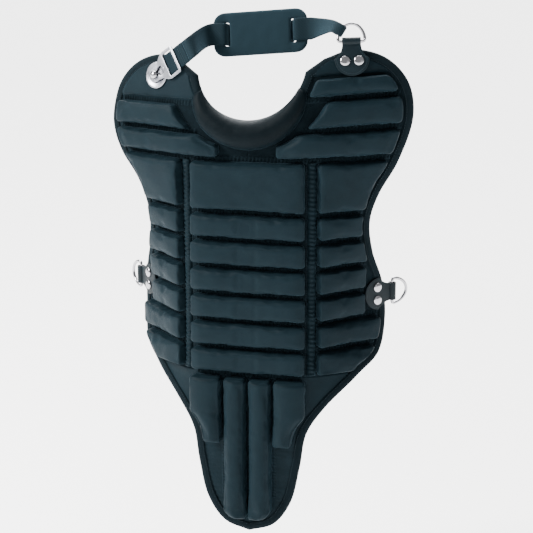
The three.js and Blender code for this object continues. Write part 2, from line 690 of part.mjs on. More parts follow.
addBackings();
addCentrePads();
addNeckRoll();
for (const [name, side] of SIDES) {
  addShoulderPads(name, side);
  addWingPads(name, side);
  addTailTubes(name, side);
}
addBindings();
for (const [name, side] of SIDES) {
  const names = { ring: `waist_ring_${name}`, tab: `waist_tab_${name}`, rivet: `waist_rivet_${name}` };
  addRingSet(names, fittingMatrix([side * WAIST_RING[0], WAIST_RING[1]], TAB_REST, side * -90));
}
const shoulderNames = { ring: "shoulder_ring", tab: "shoulder_tab", rivet: "shoulder_rivet" };
addRingSet(shoulderNames, shoulderRingMatrix());
addStud();
addMesh(
  "hook",
  hookGeometry().applyMatrix4(fittingMatrix(STUD, HOOK_REST, HOOK_ANGLE - 90)),
  "steel",
);
addNeckPad();
addWebbing();

export default part;
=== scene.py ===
"""The looks of a quilted catcher's chest protector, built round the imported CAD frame.

The soft parts are made flat, as they are cut and sewn, and are then draped over the body. A flat place is
(u, w, n) in millimetres: u is the distance across from the centre line, w is the height, and n is the height
above the front of the backing. Left and right are as seen from the front.
"""

import math
from contextlib import contextmanager

import bmesh
import bpy
import numpy as np
from mathutils import Matrix, Vector


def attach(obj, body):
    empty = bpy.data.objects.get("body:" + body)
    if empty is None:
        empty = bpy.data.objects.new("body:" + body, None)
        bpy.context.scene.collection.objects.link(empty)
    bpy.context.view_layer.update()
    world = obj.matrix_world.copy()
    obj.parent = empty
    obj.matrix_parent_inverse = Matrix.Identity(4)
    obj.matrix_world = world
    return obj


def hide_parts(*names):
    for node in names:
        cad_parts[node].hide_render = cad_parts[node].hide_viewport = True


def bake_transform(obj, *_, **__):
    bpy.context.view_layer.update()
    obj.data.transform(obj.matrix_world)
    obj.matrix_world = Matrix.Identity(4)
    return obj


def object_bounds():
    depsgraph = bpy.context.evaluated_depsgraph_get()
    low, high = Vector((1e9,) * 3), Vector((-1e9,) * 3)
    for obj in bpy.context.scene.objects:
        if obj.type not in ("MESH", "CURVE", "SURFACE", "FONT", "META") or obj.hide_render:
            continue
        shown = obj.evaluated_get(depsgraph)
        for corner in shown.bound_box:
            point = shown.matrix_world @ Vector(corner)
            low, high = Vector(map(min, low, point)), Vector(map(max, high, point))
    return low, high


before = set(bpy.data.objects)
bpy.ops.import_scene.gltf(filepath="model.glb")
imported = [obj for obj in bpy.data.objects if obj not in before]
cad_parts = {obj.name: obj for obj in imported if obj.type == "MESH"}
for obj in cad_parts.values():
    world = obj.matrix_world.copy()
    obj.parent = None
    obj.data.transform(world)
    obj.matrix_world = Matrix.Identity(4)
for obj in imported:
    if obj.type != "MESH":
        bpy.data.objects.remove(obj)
cad_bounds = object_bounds()

MM = 0.001
SIDES = (("left", -1), ("right", 1))


def linked(name, data):
    """A new object in the scene."""
    made = bpy.data.objects.new(name, data)
    bpy.context.scene.collection.objects.link(made)
    return made



# ---------------------------------------------------------------- the camera, at the photograph's angle

CAMERA_RIGHT = Vector((0.9724, 0.2334, 0.0))
CAMERA_UP = Vector((-0.0636, 0.2648, 0.9622))
CAMERA_BACK = Vector((0.2246, -0.9357, 0.2723))
CAMERA_DISTANCE = 3.04
CAMERA_OFFSET = (0.0245, 0.031)  # to the right and up, which sets where the vest stands in the picture
CAMERA_LENS = 143.6


def add_camera():
    data = bpy.data.cameras.new("camera")
    data.lens = CAMERA_LENS
    data.sensor_width = 36
    camera = linked("camera", data)
    turn = Matrix((CAMERA_RIGHT, CAMERA_UP, CAMERA_BACK)).transposed().to_4x4()
    right, up = CAMERA_OFFSET
    place = CAMERA_BACK * CAMERA_DISTANCE + CAMERA_RIGHT * right + CAMERA_UP * up
    camera.matrix_world = Matrix.Translation(place) @ turn
    bpy.context.scene.camera = camera


add_camera()

# ---------------------------------------------------------------- the body that the vest is draped over

BACKING = 6.0  # thickness of the backing
ORIGIN_W = 110.0  # the height that lies on the origin
FLAT_HALF = 40.0  # the chest is flat this far from the centre line,
TURN_WIDTH = 85.0  # and has turned back fully after this much more
WRAP_LEAST = 12.0  # degrees that the sides turn back far from the waist,
WRAP_GAIN = 34.0  # and degrees more at the waist
WRAP_HEIGHT = 60.0
WRAP_SPREAD_DOWN = 150.0
WRAP_SPREAD_UP = 250.0
SLUMP = 8.0  # degrees more that the left shoulder falls back
SLUMP_START = 280.0
SLUMP_FULL = 390.0
LEAN_START = 300.0  # above this height the shoulders lean back on an arc
LEAN_RADIUS = 480.0
SHRUG = 0.07  # how steeply the right shoulder rises
SHRUG_START = 240.0
SHRUG_RISE = 160.0
TURN_STEPS = 24  # steps from the centre line out to a place


def smoothstep(x, low, high):
    t = np.clip((x - low) / (high - low), 0, 1)
    return t * t * (3 - 2 * t)


def turn_at(distance, w, side):
    """How far the cloth has turned back, in radians, at a distance across from the centre line."""
    spread = np.where(w < WRAP_HEIGHT, WRAP_SPREAD_DOWN, WRAP_SPREAD_UP)
    bell = np.exp(-(((w - WRAP_HEIGHT) / spread) ** 2))
    slump = np.where(side < 0, SLUMP * smoothstep(w, SLUMP_START, SLUMP_FULL), 0)
    turned_back = smoothstep(distance, FLAT_HALF, FLAT_HALF + TURN_WIDTH)
    return np.radians(WRAP_LEAST + WRAP_GAIN * bell + slump) * turned_back


def drape(flat):
    """Places on the draped vest, in metres, of flat places in millimetres."""
    u, w, n = np.asarray(flat, float).reshape(-1, 3).T
    side = np.where(u < 0, -1.0, 1.0)
    run = np.abs(u) / TURN_STEPS
    across = np.zeros_like(u)
    back = np.zeros_like(u)
    for i in range(TURN_STEPS):
        angle = turn_at((i + 0.5) * run, w, side)
        across += np.cos(angle) * run
        back += np.sin(angle) * run
    turn = turn_at(np.abs(u), w, side) * side
    lean = np.maximum(0, w - LEAN_START) / LEAN_RADIUS
    x = side * across
    level = np.minimum(w, LEAN_START) - ORIGIN_W + LEAN_RADIUS * np.sin(lean)
    shrug = SHRUG * x * smoothstep(w, SHRUG_START, SHRUG_START + SHRUG_RISE)
    y = back + LEAN_RADIUS * (1 - np.cos(lean)) - BACKING
    out = (np.sin(turn), -np.cos(turn) * np.cos(lean), np.cos(turn) * np.sin(lean))
    place = np.stack([x + out[0] * n, y + out[1] * n, level + shrug + out[2] * n], axis=1)
    return place * MM


def height_of(w):
    """Height above the origin, in metres, of a place on the centre line."""
    return float(drape([(0, w, 0)])[0, 2])


# ---------------------------------------------------------------- the sewn layout

SEAM_U = 86.0
BAR_GAP = 8.0
BAR_PITCH = 40.0
TAIL_TOP = -17.0
BARS = 6
CHEST_LOW = TAIL_TOP + BARS * BAR_PITCH
YOKE_LOW = 300.0
YOKE_MID = 339.0
YOKE_HIGH = 381.0
PATCH_LOW = 412.0
BINDING_WIDTH = 12.0
PAD_INSET = BINDING_WIDTH + 5
NECK_W = 434.0
NECK_RADIUS = 80.0
ROLL_WIDTH = 40.0
ROLL_WIDTH_END = 17.0
ROLL_HEIGHT = 25.0
ROLL_HEIGHT_END = 5.0
ROLL_ANGLE = 58.0  # degrees round the neckline from its middle to the roll's end
TUBE_SEAM_U = 37.0  # the line between a long and a short tube of the tail
LONG_TUBE_LOW = -238
SHORT_TUBE_LOW = -122
WAIST_RING = (227.0, 92.0)
TAB_CLEAR_U = WAIST_RING[0] - 52  # bars beside a waist tab end here
OUTLINE_STEP = 2.0
SPLIT_W = 95.0  # where a wing's pieces are split, between its upper and its lower bend
OUTLINE = [
    (104, 437), (142, 447), (188, 433), (222, 397), (233, 350), (216, 292), (191, 246), (181, 205),
    (190, 158), (212, 106), (219, 52), (204, 6), (164, -24), (112, -65), (85, -103), (75, -155),
    (61, -212), (36, -247), (0, -260),
]


def lerp(a, b, t):
    return a + (b - a) * t


def reach_along(path):
    """The distance along a path to each of its points."""
    return np.concatenate([[0], np.cumsum(np.linalg.norm(np.diff(path, axis=0), axis=1))])


def directions(path):
    """The unit direction of a path at each of its points."""
    along = np.gradient(path, axis=0)
    return along / np.linalg.norm(along, axis=1)[:, None]


def centripetal(points, steps):
    """Points along a centripetal Catmull-Rom spline, with so many steps from each given point to the next."""
    p = np.array(points, float)
    p = np.vstack([2 * p[0] - p[1], p, 2 * p[-1] - p[-2]])
    out = []
    for i in range(len(p) - 3):
        q = p[i:i + 4]
        knots = np.concatenate([[0], np.cumsum(np.linalg.norm(np.diff(q, axis=0), axis=1) ** 0.5)])
        for t in np.linspace(knots[1], knots[2], steps, endpoint=False):
            a = [lerp(q[k], q[k + 1], (t - knots[k]) / (knots[k + 1] - knots[k])) for k in range(3)]
            b = [lerp(a[k], a[k + 1], (t - knots[k]) / (knots[k + 2] - knots[k])) for k in range(2)]
            out.append(lerp(b[0], b[1], (t - knots[1]) / (knots[2] - knots[1])))
    out.append(p[-2])
    return np.array(out)


def spaced(path, step):
    """The same path as evenly spaced points."""
    reach = reach_along(path)
    marks = np.linspace(0, reach[-1], max(2, int(round(reach[-1] / step)) + 1))
    return np.stack([np.interp(marks, reach, path[:, k]) for k in range(path.shape[1])], axis=1)


def whole_outline():
    """The right half of the sewn outline, from the middle of the neckline to the tip of the tail."""
    angles = np.radians(np.arange(0, 81, 2))
    neck = np.stack([NECK_RADIUS * np.sin(angles), NECK_W - NECK_RADIUS * np.cos(angles)], axis=1)
    return spaced(np.vstack([neck, centripetal(OUTLINE, 12)]), OUTLINE_STEP)


outline = whole_outline()
top_index = int(np.argmax(outline[:, 1]))


def inset_outline(inset):
    along = directions(outline)
    return outline + inset * np.stack([along[:, 1], -along[:, 0]], axis=1)


def half_width(inset):
    """A function of the height: the distance from the centre line to the outer edge, less an inset."""
    outer = inset_outline(inset)[top_index:][::-1]
    return lambda w: np.interp(w, outer[:, 1], outer[:, 0])


def neck_side(inset):
    """A function of the height: the distance from the centre line to the neck side of a shoulder."""
    inner = inset_outline(inset)[:top_index + 1]
    return lambda w: np.interp(w, inner[:, 1], inner[:, 0])


def neck_half(w, inset):
    """Half the neckline's width at a height, with an inset."""
    radius = NECK_RADIUS + inset
    return np.sqrt(np.maximum(radius * radius - (NECK_W - w) ** 2, 0))


def at(value):
    """A side that is the same distance out at every height."""
    return lambda w: value + 0 * np.asarray(w, float)


def mirrored(side, near, far):
    """The left and right sides of a region that is given by its near and far sides."""
    if side > 0:
        return near, far
    return (lambda w: -far(w)), (lambda w: -near(w))


# ---------------------------------------------------------------- materials


class Shader:
    """A short way to write a node material."""

    def __init__(self, name):
        self.material = bpy.data.materials.new(name)
        self.material.use_nodes = True
        self.tree = self.material.node_tree
        self.surface = self.tree.nodes["Principled BSDF"]

    def node(self, kind, settings=None, **inputs):
        made = self.tree.nodes.new("ShaderNode" + kind)
        for key, value in (settings or {}).items():
            setattr(made, key, value)
        for key, value in inputs.items():
            self.give(made, key.replace("_", " "), value)
        return made

    def give(self, made, key, value):
        socket = made.inputs[int(key[1:])] if key[0] == "#" else made.inputs[key]
        if isinstance(value, bpy.types.NodeSocket):
            self.tree.links.new(value, socket)
        else:
            socket.default_value = value

    def math(self, operation, a, b=0.0):
        made = self.node("Math", {"operation": operation})
        self.give(made, "#0", a)
        self.give(made, "#1", b)
        return made.outputs[0]

    def mix(self, share, a, b):
        """A colour between two colours."""
        made = self.node("Mix", {"data_type": "RGBA"})
        self.give(made, "#0", share)
        self.give(made, "#6", a)
        self.give(made, "#7", b)
        return made.outputs[2]

    def flat(self):
        """The place on the flat cloth, in millimetres, so that a weave follows the cloth."""
        return self.node("Attribute", {"attribute_name": "flat"}).outputs["Vector"]

    def own(self):
        return self.node("TexCoord").outputs["Object"]

    def noise(self, place, scale, detail=2.0, roughness=0.5):
        made = self.node("TexNoise", Vector=place, Scale=scale, Detail=detail, Roughness=roughness)
        return made.outputs["Fac"]

    def ribs(self, place, axis, pitch):
        """A wave along one axis with the pitch given in the place's own units."""
        settings = {"wave_type": "BANDS", "bands_direction": axis}
        return self.node("TexWave", settings, Vector=place, Scale=math.pi / (10 * pitch)).outputs["Fac"]

    def bumps(self, *layers):
        """Bumps on bumps, each given as (height, distance in metres, strength)."""
        normal = None
        for height, distance, strength in layers:
            made = self.node("Bump", Height=height, Distance=distance, Strength=strength)
            if normal is not None:
                self.give(made, "Normal", normal)
            normal = made.outputs["Normal"]
        self.give(self.surface, "Normal", normal)

    def cloth(self, colour, rough, sheen, sheen_rough):
        """A woven surface: a soft sheen and hardly any gloss."""
        return self.set(Base_Color=colour, Roughness=rough, Sheen_Weight=sheen, Sheen_Roughness=sheen_rough,
                        Sheen_Tint=SHEEN_TINT, Specular_IOR_Level=0.03)

    def set(self, **inputs):
        for key, value in inputs.items():
            self.give(self.surface, key.replace("_", " "), value)
        return self.material


SHEEN_TINT = (0.45, 0.78, 1.0, 1)


def slate(value):
    """A dark slate blue."""
    return (value * 0.14, value * 0.32, value * 0.43, 1)


def nylon(name="nylon", base=0.020):
    """Smooth woven nylon: a fine plain weave, a soft sheen, and faint creases."""
    s = Shader(name)
    cloth = s.flat()
    warp = s.ribs(cloth, "X", 0.55)
    weft = s.ribs(cloth, "Y", 0.55)
    weave = s.math("MULTIPLY", warp, weft)
    patches = s.noise(cloth, 0.035, 4.0, 0.6)
    creases = s.noise(cloth, 0.16, 5.0, 0.62)
    colour = s.mix(patches, slate(base), slate(base * 1.7))
    colour = s.mix(s.math("MULTIPLY", weave, 0.25), colour, slate(base * 3))
    rough = s.math("MULTIPLY_ADD", patches, 0.16)
    rough.node.inputs[2].default_value = 0.38
    s.bumps((creases, 0.0012, 0.30), (weave, 0.0002, 0.35))
    return s.cloth(colour, rough, 0.03, 0.45)


def mesh_cloth(name="mesh_cloth", base=0.012):
    """A warp-knitted mesh with small holes."""
    s = Shader(name)
    cloth = s.flat()
    cells = s.node("TexVoronoi", {"feature": "DISTANCE_TO_EDGE"}, Vector=cloth, Scale=0.62, Randomness=0.35)
    threads = s.node("MapRange", Value=cells.outputs["Distance"], From_Min=0.05, From_Max=0.30)
    holes = threads.outputs["Result"]
    soft = s.noise(cloth, 0.12, 4.0, 0.6)
    colour = s.mix(holes, slate(base * 2.1), slate(base * 0.45))
    colour = s.mix(s.math("MULTIPLY", soft, 0.4), colour, slate(base * 0.8))
    s.bumps((soft, 0.0015, 0.35), (s.math("SUBTRACT", 1.0, holes), 0.0005, 0.7))
    return s.cloth(colour, 0.82, 0.05, 0.5)


def tape():
    """Ribbed binding tape: fine ribs across it."""
    s = Shader("tape")
    cloth = s.flat()
    ribs = s.ribs(cloth, "X", 1.1)
    lengthways = s.ribs(cloth, "Y", 0.8)
    weave = s.math("MULTIPLY", ribs, s.math("MULTIPLY_ADD", lengthways, 0.5))
    soft = s.noise(cloth, 0.09, 3.0)
    colour = s.mix(weave, slate(0.009), slate(0.024))
    colour = s.mix(s.math("MULTIPLY", soft, 0.35), colour, slate(0.03))
    s.bumps((soft, 0.0010, 0.25), (weave, 0.0004, 0.6))
    return s.cloth(colour, 0.68, 0.06, 0.4)


def strap_weave():
    """Heavy webbing: ribs across and a faint herringbone."""
    s = Shader("strap_weave")
    cloth = s.flat()
    ribs = s.ribs(cloth, "X", 1.25)
    diagonal = s.ribs(cloth, "DIAGONAL", 2.2)
    weave = s.math("MULTIPLY_ADD", diagonal, 0.35)
    s.give(weave.node, "#2", s.math("MULTIPLY", ribs, 0.65))
    soft = s.noise(cloth, 0.06, 3.0)
    colour = s.mix(weave, slate(0.014), slate(0.048))
    colour = s.mix(s.math("MULTIPLY", soft, 0.3), colour, slate(0.05))
    s.bumps((weave, 0.0005, 0.6))
    return s.cloth(colour, 0.6, 0.10, 0.4)


def brushed_cover():
    """The neck pad's matte brushed cover."""
    s = Shader("brushed_cover")
    place = s.own()
    nap = s.noise(place, 900.0, 6.0, 0.7)
    soft = s.noise(place, 60.0, 4.0, 0.6)
    colour = s.mix(nap, slate(0.020), slate(0.050))
    colour = s.mix(s.math("MULTIPLY", soft, 0.4), colour, slate(0.030))
    s.bumps((soft, 0.0008, 0.25), (nap, 0.0004, 0.5))
    return s.cloth(colour, 0.86, 0.14, 0.55)


def leather():
    s = Shader("leather")
    place = s.own()
    cells = s.node("TexVoronoi", {"feature": "DISTANCE_TO_EDGE"}, Vector=place, Scale=900.0)
    creases = s.noise(place, 120.0, 6.0, 0.6)
    worn = s.noise(place, 45.0, 3.0)
    colour = s.mix(worn, slate(0.012), slate(0.034))
    rough = s.math("MULTIPLY_ADD", creases, 0.25)
    rough.node.inputs[2].default_value = 0.30
    s.bumps((creases, 0.0005, 0.35), (cells.outputs["Distance"], 0.0003, 0.5))
    return s.set(Base_Color=colour, Roughness=rough, Specular_IOR_Level=0.10)


def metal(name, colour, low, high, scratch):
    """Plated metal with fine scratches and slight smudges."""
    s = Shader(name)
    place = s.own()
    smudges = s.noise(place, 140.0, 5.0, 0.6)
    fine = s.noise(place, 2600.0, 2.0)
    rough = s.math("MULTIPLY_ADD", smudges, high - low)
    rough.node.inputs[2].default_value = low
    tone = s.mix(smudges, tuple(c * 0.86 for c in colour) + (1,), colour + (1,))
    s.bumps((fine, 0.0001, scratch))
    return s.set(Base_Color=tone, Roughness=rough, Metallic=1.0)


def thread():
    s = Shader("thread")
    fibres = s.noise(s.own(), 2500.0, 3.0)
    s.bumps((fibres, 0.0001, 0.5))
    return s.set(Base_Color=s.mix(fibres, slate(0.03), slate(0.08)), Roughness=0.55, Specular_IOR_Level=0.2)


MATERIALS = {
    "nylon": nylon(),
    # The neck roll is the same nylon with about a third of its base colour: painted shade, darkening the
    # whole roll as if it lay in shadow.
    "roll": nylon("roll_nylon_painted_shade", 0.007),
    "mesh": mesh_cloth(),
    "lining": mesh_cloth("lining_cloth", 0.017),
    "tape": tape(),
    "webbing": strap_weave(),
    "cover": brushed_cover(),
    "leather": leather(),
    "satin": metal("satin_nickel", (0.28, 0.29, 0.32), 0.24, 0.42, 0.15),
    "polished": metal("polished_nickel", (0.36, 0.36, 0.38), 0.05, 0.16, 0.04),
    "thread": thread(),
}

# ---------------------------------------------------------------- meshes and how they move

WING_FULL = (40.0, 150.0)  # between these heights a wing moves as one
TAIL_BEND = 48.0  # the height a bend of the tail would span; its ends are worked out, but nothing bends


def add_piece(name, places, faces, kind, flat=None):
    """A new smooth piece with its material, from places in metres and, for cloth, its flat places."""
    mesh = bpy.data.meshes.new(name)
    mesh.from_pydata([tuple(p) for p in places], [], [tuple(f) for f in faces])
    mesh.update()
    if flat is not None:
        layout = mesh.attributes.new("flat", "FLOAT_VECTOR", "POINT")
        layout.data.foreach_set("vector", np.asarray(flat, np.float32).ravel())
    mesh.polygons.foreach_set("use_smooth", [True] * len(mesh.polygons))
    piece = linked(name, mesh)
    mesh.materials.append(MATERIALS[kind])
    return piece


def bend_of(w_low, w_high):
    """Which end of its wing a piece lies in: the name of its bend, or None where it rides."""
    middle = (w_low + w_high) / 2
    if w_high > WING_FULL[1]:
        return "upper" if middle > SPLIT_W else None
    return "lower" if w_low < WING_FULL[0] and middle < SPLIT_W else None


def move_with_wing(piece, name, w_low, w_high):
    bend = bend_of(w_low, w_high)
    if bend is None:
        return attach(piece, f"wing_{name}")
    start, end = (YOKE_LOW, WING_FULL[1]) if bend == "upper" else (TAIL_TOP, WING_FULL[0])
    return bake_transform(piece, "vest", f"wing_{name}", (0, 0, height_of(start)), (0, 0, height_of(end)))


def wing_mover(name, w_low, w_high):
    """How a piece between two heights moves with a wing."""
    return lambda piece: move_with_wing(piece, name, w_low, w_high)


def move_with_tail(piece):
    start, end = (0, 0, height_of(TAIL_TOP)), (0, 0, height_of(TAIL_TOP - TAIL_BEND))
    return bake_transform(piece)


def on_vest(piece):
    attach(piece, "vest")


def grid_faces(rows, columns, first=0):
    """Faces of a grid of rows x columns points, with columns running along each row."""
    i = np.arange(rows - 1)[:, None] * columns + np.arange(columns - 1)[None, :] + first
    i = i.ravel()
    return np.stack([i, i + 1, i + columns + 1, i + columns], axis=1).tolist()


def ring_faces(first, second, count):
    """Faces between two closed rings of so many points."""
    k = np.arange(count)
    following = (k + 1) % count
    return np.stack([first + k, first + following, second + following, second + k], axis=1).tolist()


def tube_faces(rings, count, closed=False):
    """Faces of a tube through so many rings of points, which has capped ends or is closed on itself."""
    faces = []
    for k in range(rings if closed else rings - 1):
        faces += ring_faces(k * count, (k + 1) % rings * count, count)
    if not closed:
        faces += [list(range(count)), list(range((rings - 1) * count, rings * count))]
    return faces


def border_of(rows, columns):
    """Indices of a grid's border points, going round."""
    low = list(range(columns))
    right = [r * columns + columns - 1 for r in range(1, rows)]
    high = [(rows - 1) * columns + c for c in range(columns - 2, -1, -1)]
    left = [r * columns for r in range(rows - 2, 0, -1)]
    return low + right + high + left


def sheet_faces(rows, columns, flipped=False):
    """Faces of a closed sheet: a grid, the same grid again for its other side, and the rim between them."""
    count = rows * columns
    grid = grid_faces(rows, columns)
    other = [[i + count for i in f] for f in grid]
    border = border_of(rows, columns)
    rim = zip(border, border[1:] + border[:1])
    if flipped:
        return [f[::-1] for f in grid] + other + [[i, j, j + count, i + count] for i, j in rim]
    return grid + [f[::-1] for f in other] + [[j, i, i + count, j + count] for i, j in rim]


@contextmanager
def edited(piece):
    """A piece's mesh, open for changes."""
    work = bmesh.new()
    work.from_mesh(piece.data)
    yield work
    work.to_mesh(piece.data)
    work.free()
    piece.data.update()


def close_up(piece):
    """Closes a shape's open side and turns all its faces outwards."""
    with edited(piece) as work:
        boundary = [e for e in work.edges if e.is_boundary]
        if boundary:
            bmesh.ops.holes_fill(work, edges=boundary, sides=0)
        bmesh.ops.recalc_face_normals(work, faces=work.faces)


def taken_out(thing):
    """The places and faces that an object's modifiers give it. The object itself is removed."""
    made = thing.evaluated_get(bpy.context.evaluated_depsgraph_get()).to_mesh()
    places = np.array([v.co for v in made.vertices])
    faces = [list(f.vertices) for f in made.polygons]
    bpy.data.objects.remove(thing)
    return places, faces


# ---------------------------------------------------------------- foam pads, sewn and inflated as cloth

PAD_HEIGHT = 14.5
PAD_GAP = 6.6  # between the feet of two pads
TUBE_HEIGHT = 18.0
TUBE_GAP = 1.6  # half of the sewn line between two tubes
PAD_CROWN = 0.8  # how far the middle of a pad's face stands up,
TUBE_CROWN = 3.4  # and of a tube's
PAD_ROUND = 3.4
PAD_DRAFT = 0.9  # how far a pad's wall leans in
PAD_CORNER = 6.0
PAD_STEP = 3.4
CLOTH_SURPLUS = 0.012  # share by which the cloth is cut too large
CLOTH_PRESSURE = 1.6
CLOTH_FRAMES = 20
CLOTH_CAP = 1.8  # the simulation moves no place further than this
SEWN = "sewn"


def pad_flat(low, high, left, right, height):
    """One pad in the flat: rings up its wall and round its edge, then a grid over its face."""
    middle = (low + high) / 2
    half_x = float(right(middle) - left(middle)) / 2
    half_y = (high - low) / 2
    columns = max(5, int(round(2 * half_x / PAD_STEP)) + 1)
    rows = max(5, int(round(2 * half_y / PAD_STEP)) + 1)
    wall = height - PAD_ROUND
    levels = [(0.0, 0.2), (0.3, wall * 0.35), (0.6, wall * 0.7), (PAD_DRAFT, wall)]
    for angle in np.radians([22.5, 45, 67.5, 90]):
        levels.append((PAD_DRAFT + PAD_ROUND * (1 - math.cos(angle)), wall + PAD_ROUND * math.sin(angle)))
    across, up = np.meshgrid(np.linspace(-1, 1, columns), np.linspace(-1, 1, rows))
    square = np.stack([across.ravel(), up.ravel()], axis=1)
    border = border_of(rows, columns)

    def shaped(points, inset):
        """Points of the square, moved onto the pad's rounded outline inside an inset."""
        reach = np.array([half_x - inset, half_y - inset])
        radius = min(max(PAD_CORNER - 0.5 * inset, 2.0), *reach)
        p = points * reach
        beyond = np.abs(p) - (reach - radius)
        corner = (beyond > 0).all(axis=1) & (np.abs(points).max(axis=1) > 0.999)
        length = np.linalg.norm(beyond, axis=1)
        scale = np.where(corner & (length > 0), radius / np.maximum(length, 1e-9), 1)
        return np.where(corner[:, None], np.sign(p) * ((reach - radius) + beyond * scale[:, None]), p)

    def placed(p, n):
        w = middle + p[:, 1]
        share = (p[:, 0] / half_x + 1) / 2
        u = lerp(left(w), right(w), share)
        return np.stack([u, w, n + 0 * u], axis=1)

    rings = [placed(shaped(square[border], inset), n) for inset, n in levels[:-1]]
    face_inset, face_height = levels[-1]
    face = placed(shaped(square, face_inset), face_height)
    if height > PAD_HEIGHT:
        face[:, 2] += TUBE_CROWN * (1 - square[:, 0] ** 2)
    else:
        face[:, 2] += PAD_CROWN * ((1 - square[:, 0] ** 4) * (1 - square[:, 1] ** 2))
    places = np.vstack(rings + [face])
    count = len(border)
    faces = []
    for k in range(len(rings) - 1):
        faces += ring_faces(k * count, (k + 1) * count, count)
    first = len(rings) * count
    last = (len(rings) - 1) * count
    for k in range(count):
        following = (k + 1) % count
        faces.append([last + k, last + following, first + border[following], first + border[k]])
    faces += grid_faces(rows, columns, first)
    return places, faces, count


def inflated(pads):
    """All the pads blown up as one piece of cloth in the flat, held where they are sewn down."""
    counts = [len(places) for places, _, _ in pads]
    starts = np.concatenate([[0], np.cumsum(counts)[:-1]])
    places = np.vstack([p for p, _, _ in pads])
    faces = [[i + int(a) for i in f] for (_, fs, _), a in zip(pads, starts) for f in fs]
    mesh = bpy.data.meshes.new("cloth")
    mesh.from_pydata((places * MM).tolist(), [], faces)
    cloth = linked("cloth", mesh)
    sewn = cloth.vertex_groups.new(name=SEWN)
    for (_, _, seam), start in zip(pads, starts):
        sewn.add([int(start) + i for i in range(seam)], 1.0, "REPLACE")
    modifier = cloth.modifiers.new("cloth", "CLOTH")
    settings = modifier.settings
    settings.quality = 6
    settings.mass = 0.2
    settings.tension_stiffness = 25
    settings.compression_stiffness = 25
    settings.shear_stiffness = 8
    settings.bending_stiffness = 0.4
    settings.vertex_group_mass = SEWN
    settings.shrink_min = -CLOTH_SURPLUS
    settings.use_pressure = True
    settings.uniform_pressure_force = CLOTH_PRESSURE
    settings.effector_weights.gravity = 0
    modifier.collision_settings.use_collision = False
    modifier.point_cache.frame_end = CLOTH_FRAMES
    scene = bpy.context.scene
    for step in range(1, CLOTH_FRAMES + 1):
        scene.frame_set(step)
    settled = cloth.evaluated_get(bpy.context.evaluated_depsgraph_get())
    blown = np.array([v.co for v in settled.data.vertices]) / MM
    scene.frame_set(1)
    bpy.data.objects.remove(cloth)
    move = blown - places
    length = np.linalg.norm(move, axis=1)
    move *= (np.minimum(length, CLOTH_CAP) / np.maximum(length, 1e-9))[:, None]
    return [(places + move)[a:a + c] for a, c in zip(starts, counts)]


def pad_layout():
    """Every pad's name, heights, sides and thickness."""
    half = PAD_GAP / 2
    outer = half_width(PAD_INSET - 1)
    pads = []

    def add(name, low, high, sides, height=PAD_HEIGHT):
        pads.append((name, low + half, high - half, sides, height))

    middle = (at(-SEAM_U + 4.5), at(SEAM_U - 4.5))
    add("chest_block", CHEST_LOW, YOKE_LOW, middle)
    for i in range(BARS):
        low = CHEST_LOW - (i + 1) * BAR_PITCH
        add(f"centre_bar_{i + 1}", low, low + BAR_PITCH, middle)
    for name, side in SIDES:
        wing = mirrored(side, at(SEAM_U + 12), outer)
        beside_tab = mirrored(side, at(SEAM_U + 12), lambda w: np.minimum(outer(w), TAB_CLEAR_U))
        add(f"wing_block_{name}", CHEST_LOW, YOKE_LOW, wing)
        for i in range(BARS):
            low = CHEST_LOW - (i + 1) * BAR_PITCH
            near_tab = abs(low + BAR_PITCH / 2 - WAIST_RING[1]) < BAR_PITCH
            add(f"wing_bar_{name}_{i + 1}", low, low + BAR_PITCH, beside_tab if near_tab else wing)
        roll = lambda w: np.maximum(neck_half(w, ROLL_WIDTH) + 4, 42)
        neck = lambda w: neck_half(w, PAD_INSET)
        add(f"shoulder_bar_{name}_low", YOKE_LOW, YOKE_MID, mirrored(side, roll, outer))
        add(f"shoulder_bar_{name}_mid", YOKE_MID, YOKE_HIGH, mirrored(side, roll, outer))
        if side > 0:
            add(f"shoulder_bar_{name}_top", YOKE_HIGH, PATCH_LOW, mirrored(side, neck, outer))
        top = TAIL_TOP - 2
        long = mirrored(side, at(TUBE_GAP), lambda w: np.minimum(TUBE_SEAM_U - TUBE_GAP, outer(w)))
        short = mirrored(side, at(TUBE_SEAM_U + TUBE_GAP), lambda w: np.minimum(SEAM_U - half, outer(w)))
        add(f"tail_tube_long_{name}", LONG_TUBE_LOW - half, top, long, TUBE_HEIGHT)
        add(f"tail_tube_short_{name}", SHORT_TUBE_LOW - half, top, short, TUBE_HEIGHT)
    return pads


def wrinkled(flat, depth, pitch, seed):
    """A height for each flat place: soft creases, the same each run."""
    u, w = flat[:, 0], flat[:, 1]
    total = np.zeros(len(flat))
    local = np.random.default_rng(seed)
    for _ in range(6):
        angle = local.uniform(0, math.pi)
        wave = pitch * local.uniform(0.7, 2.2)
        phase = local.uniform(0, 2 * math.pi)
        total += np.sin(2 * math.pi * (u * math.cos(angle) + w * math.sin(angle)) / wave + phase)
    return depth * total / 6


def add_pads():
    layout = pad_layout()
    shapes = [pad_flat(low, high, *sides, height) for _, low, high, sides, height in layout]
    for k, (blown, (name, low, high, _, _)) in enumerate(zip(inflated(shapes), layout)):
        flat = blown.copy()
        lift = smoothstep(flat[:, 2], 2.0, 10.0)
        flat[:, 2] += lift * wrinkled(flat, 0.5, 22.0, 40 + k)
        piece = add_piece(name, drape(flat), shapes[k][1], "nylon", flat)
        close_up(piece)
        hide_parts(name)
        if name.startswith("wing"):
            move_with_wing(piece, name.split("_")[2], low, high)
        elif name.startswith("tail"):
            move_with_tail(piece)
        else:
            on_vest(piece)


add_pads()

# ---------------------------------------------------------------- quilted backing

SHEET_STEP = 3.2
SHEET_INSET = 7.0  # the sheets' edges end inside the binding
CLOTH_LAYER = 2.0
FLAT_SEAM = 0.06  # half of the gap between two sheets that meet


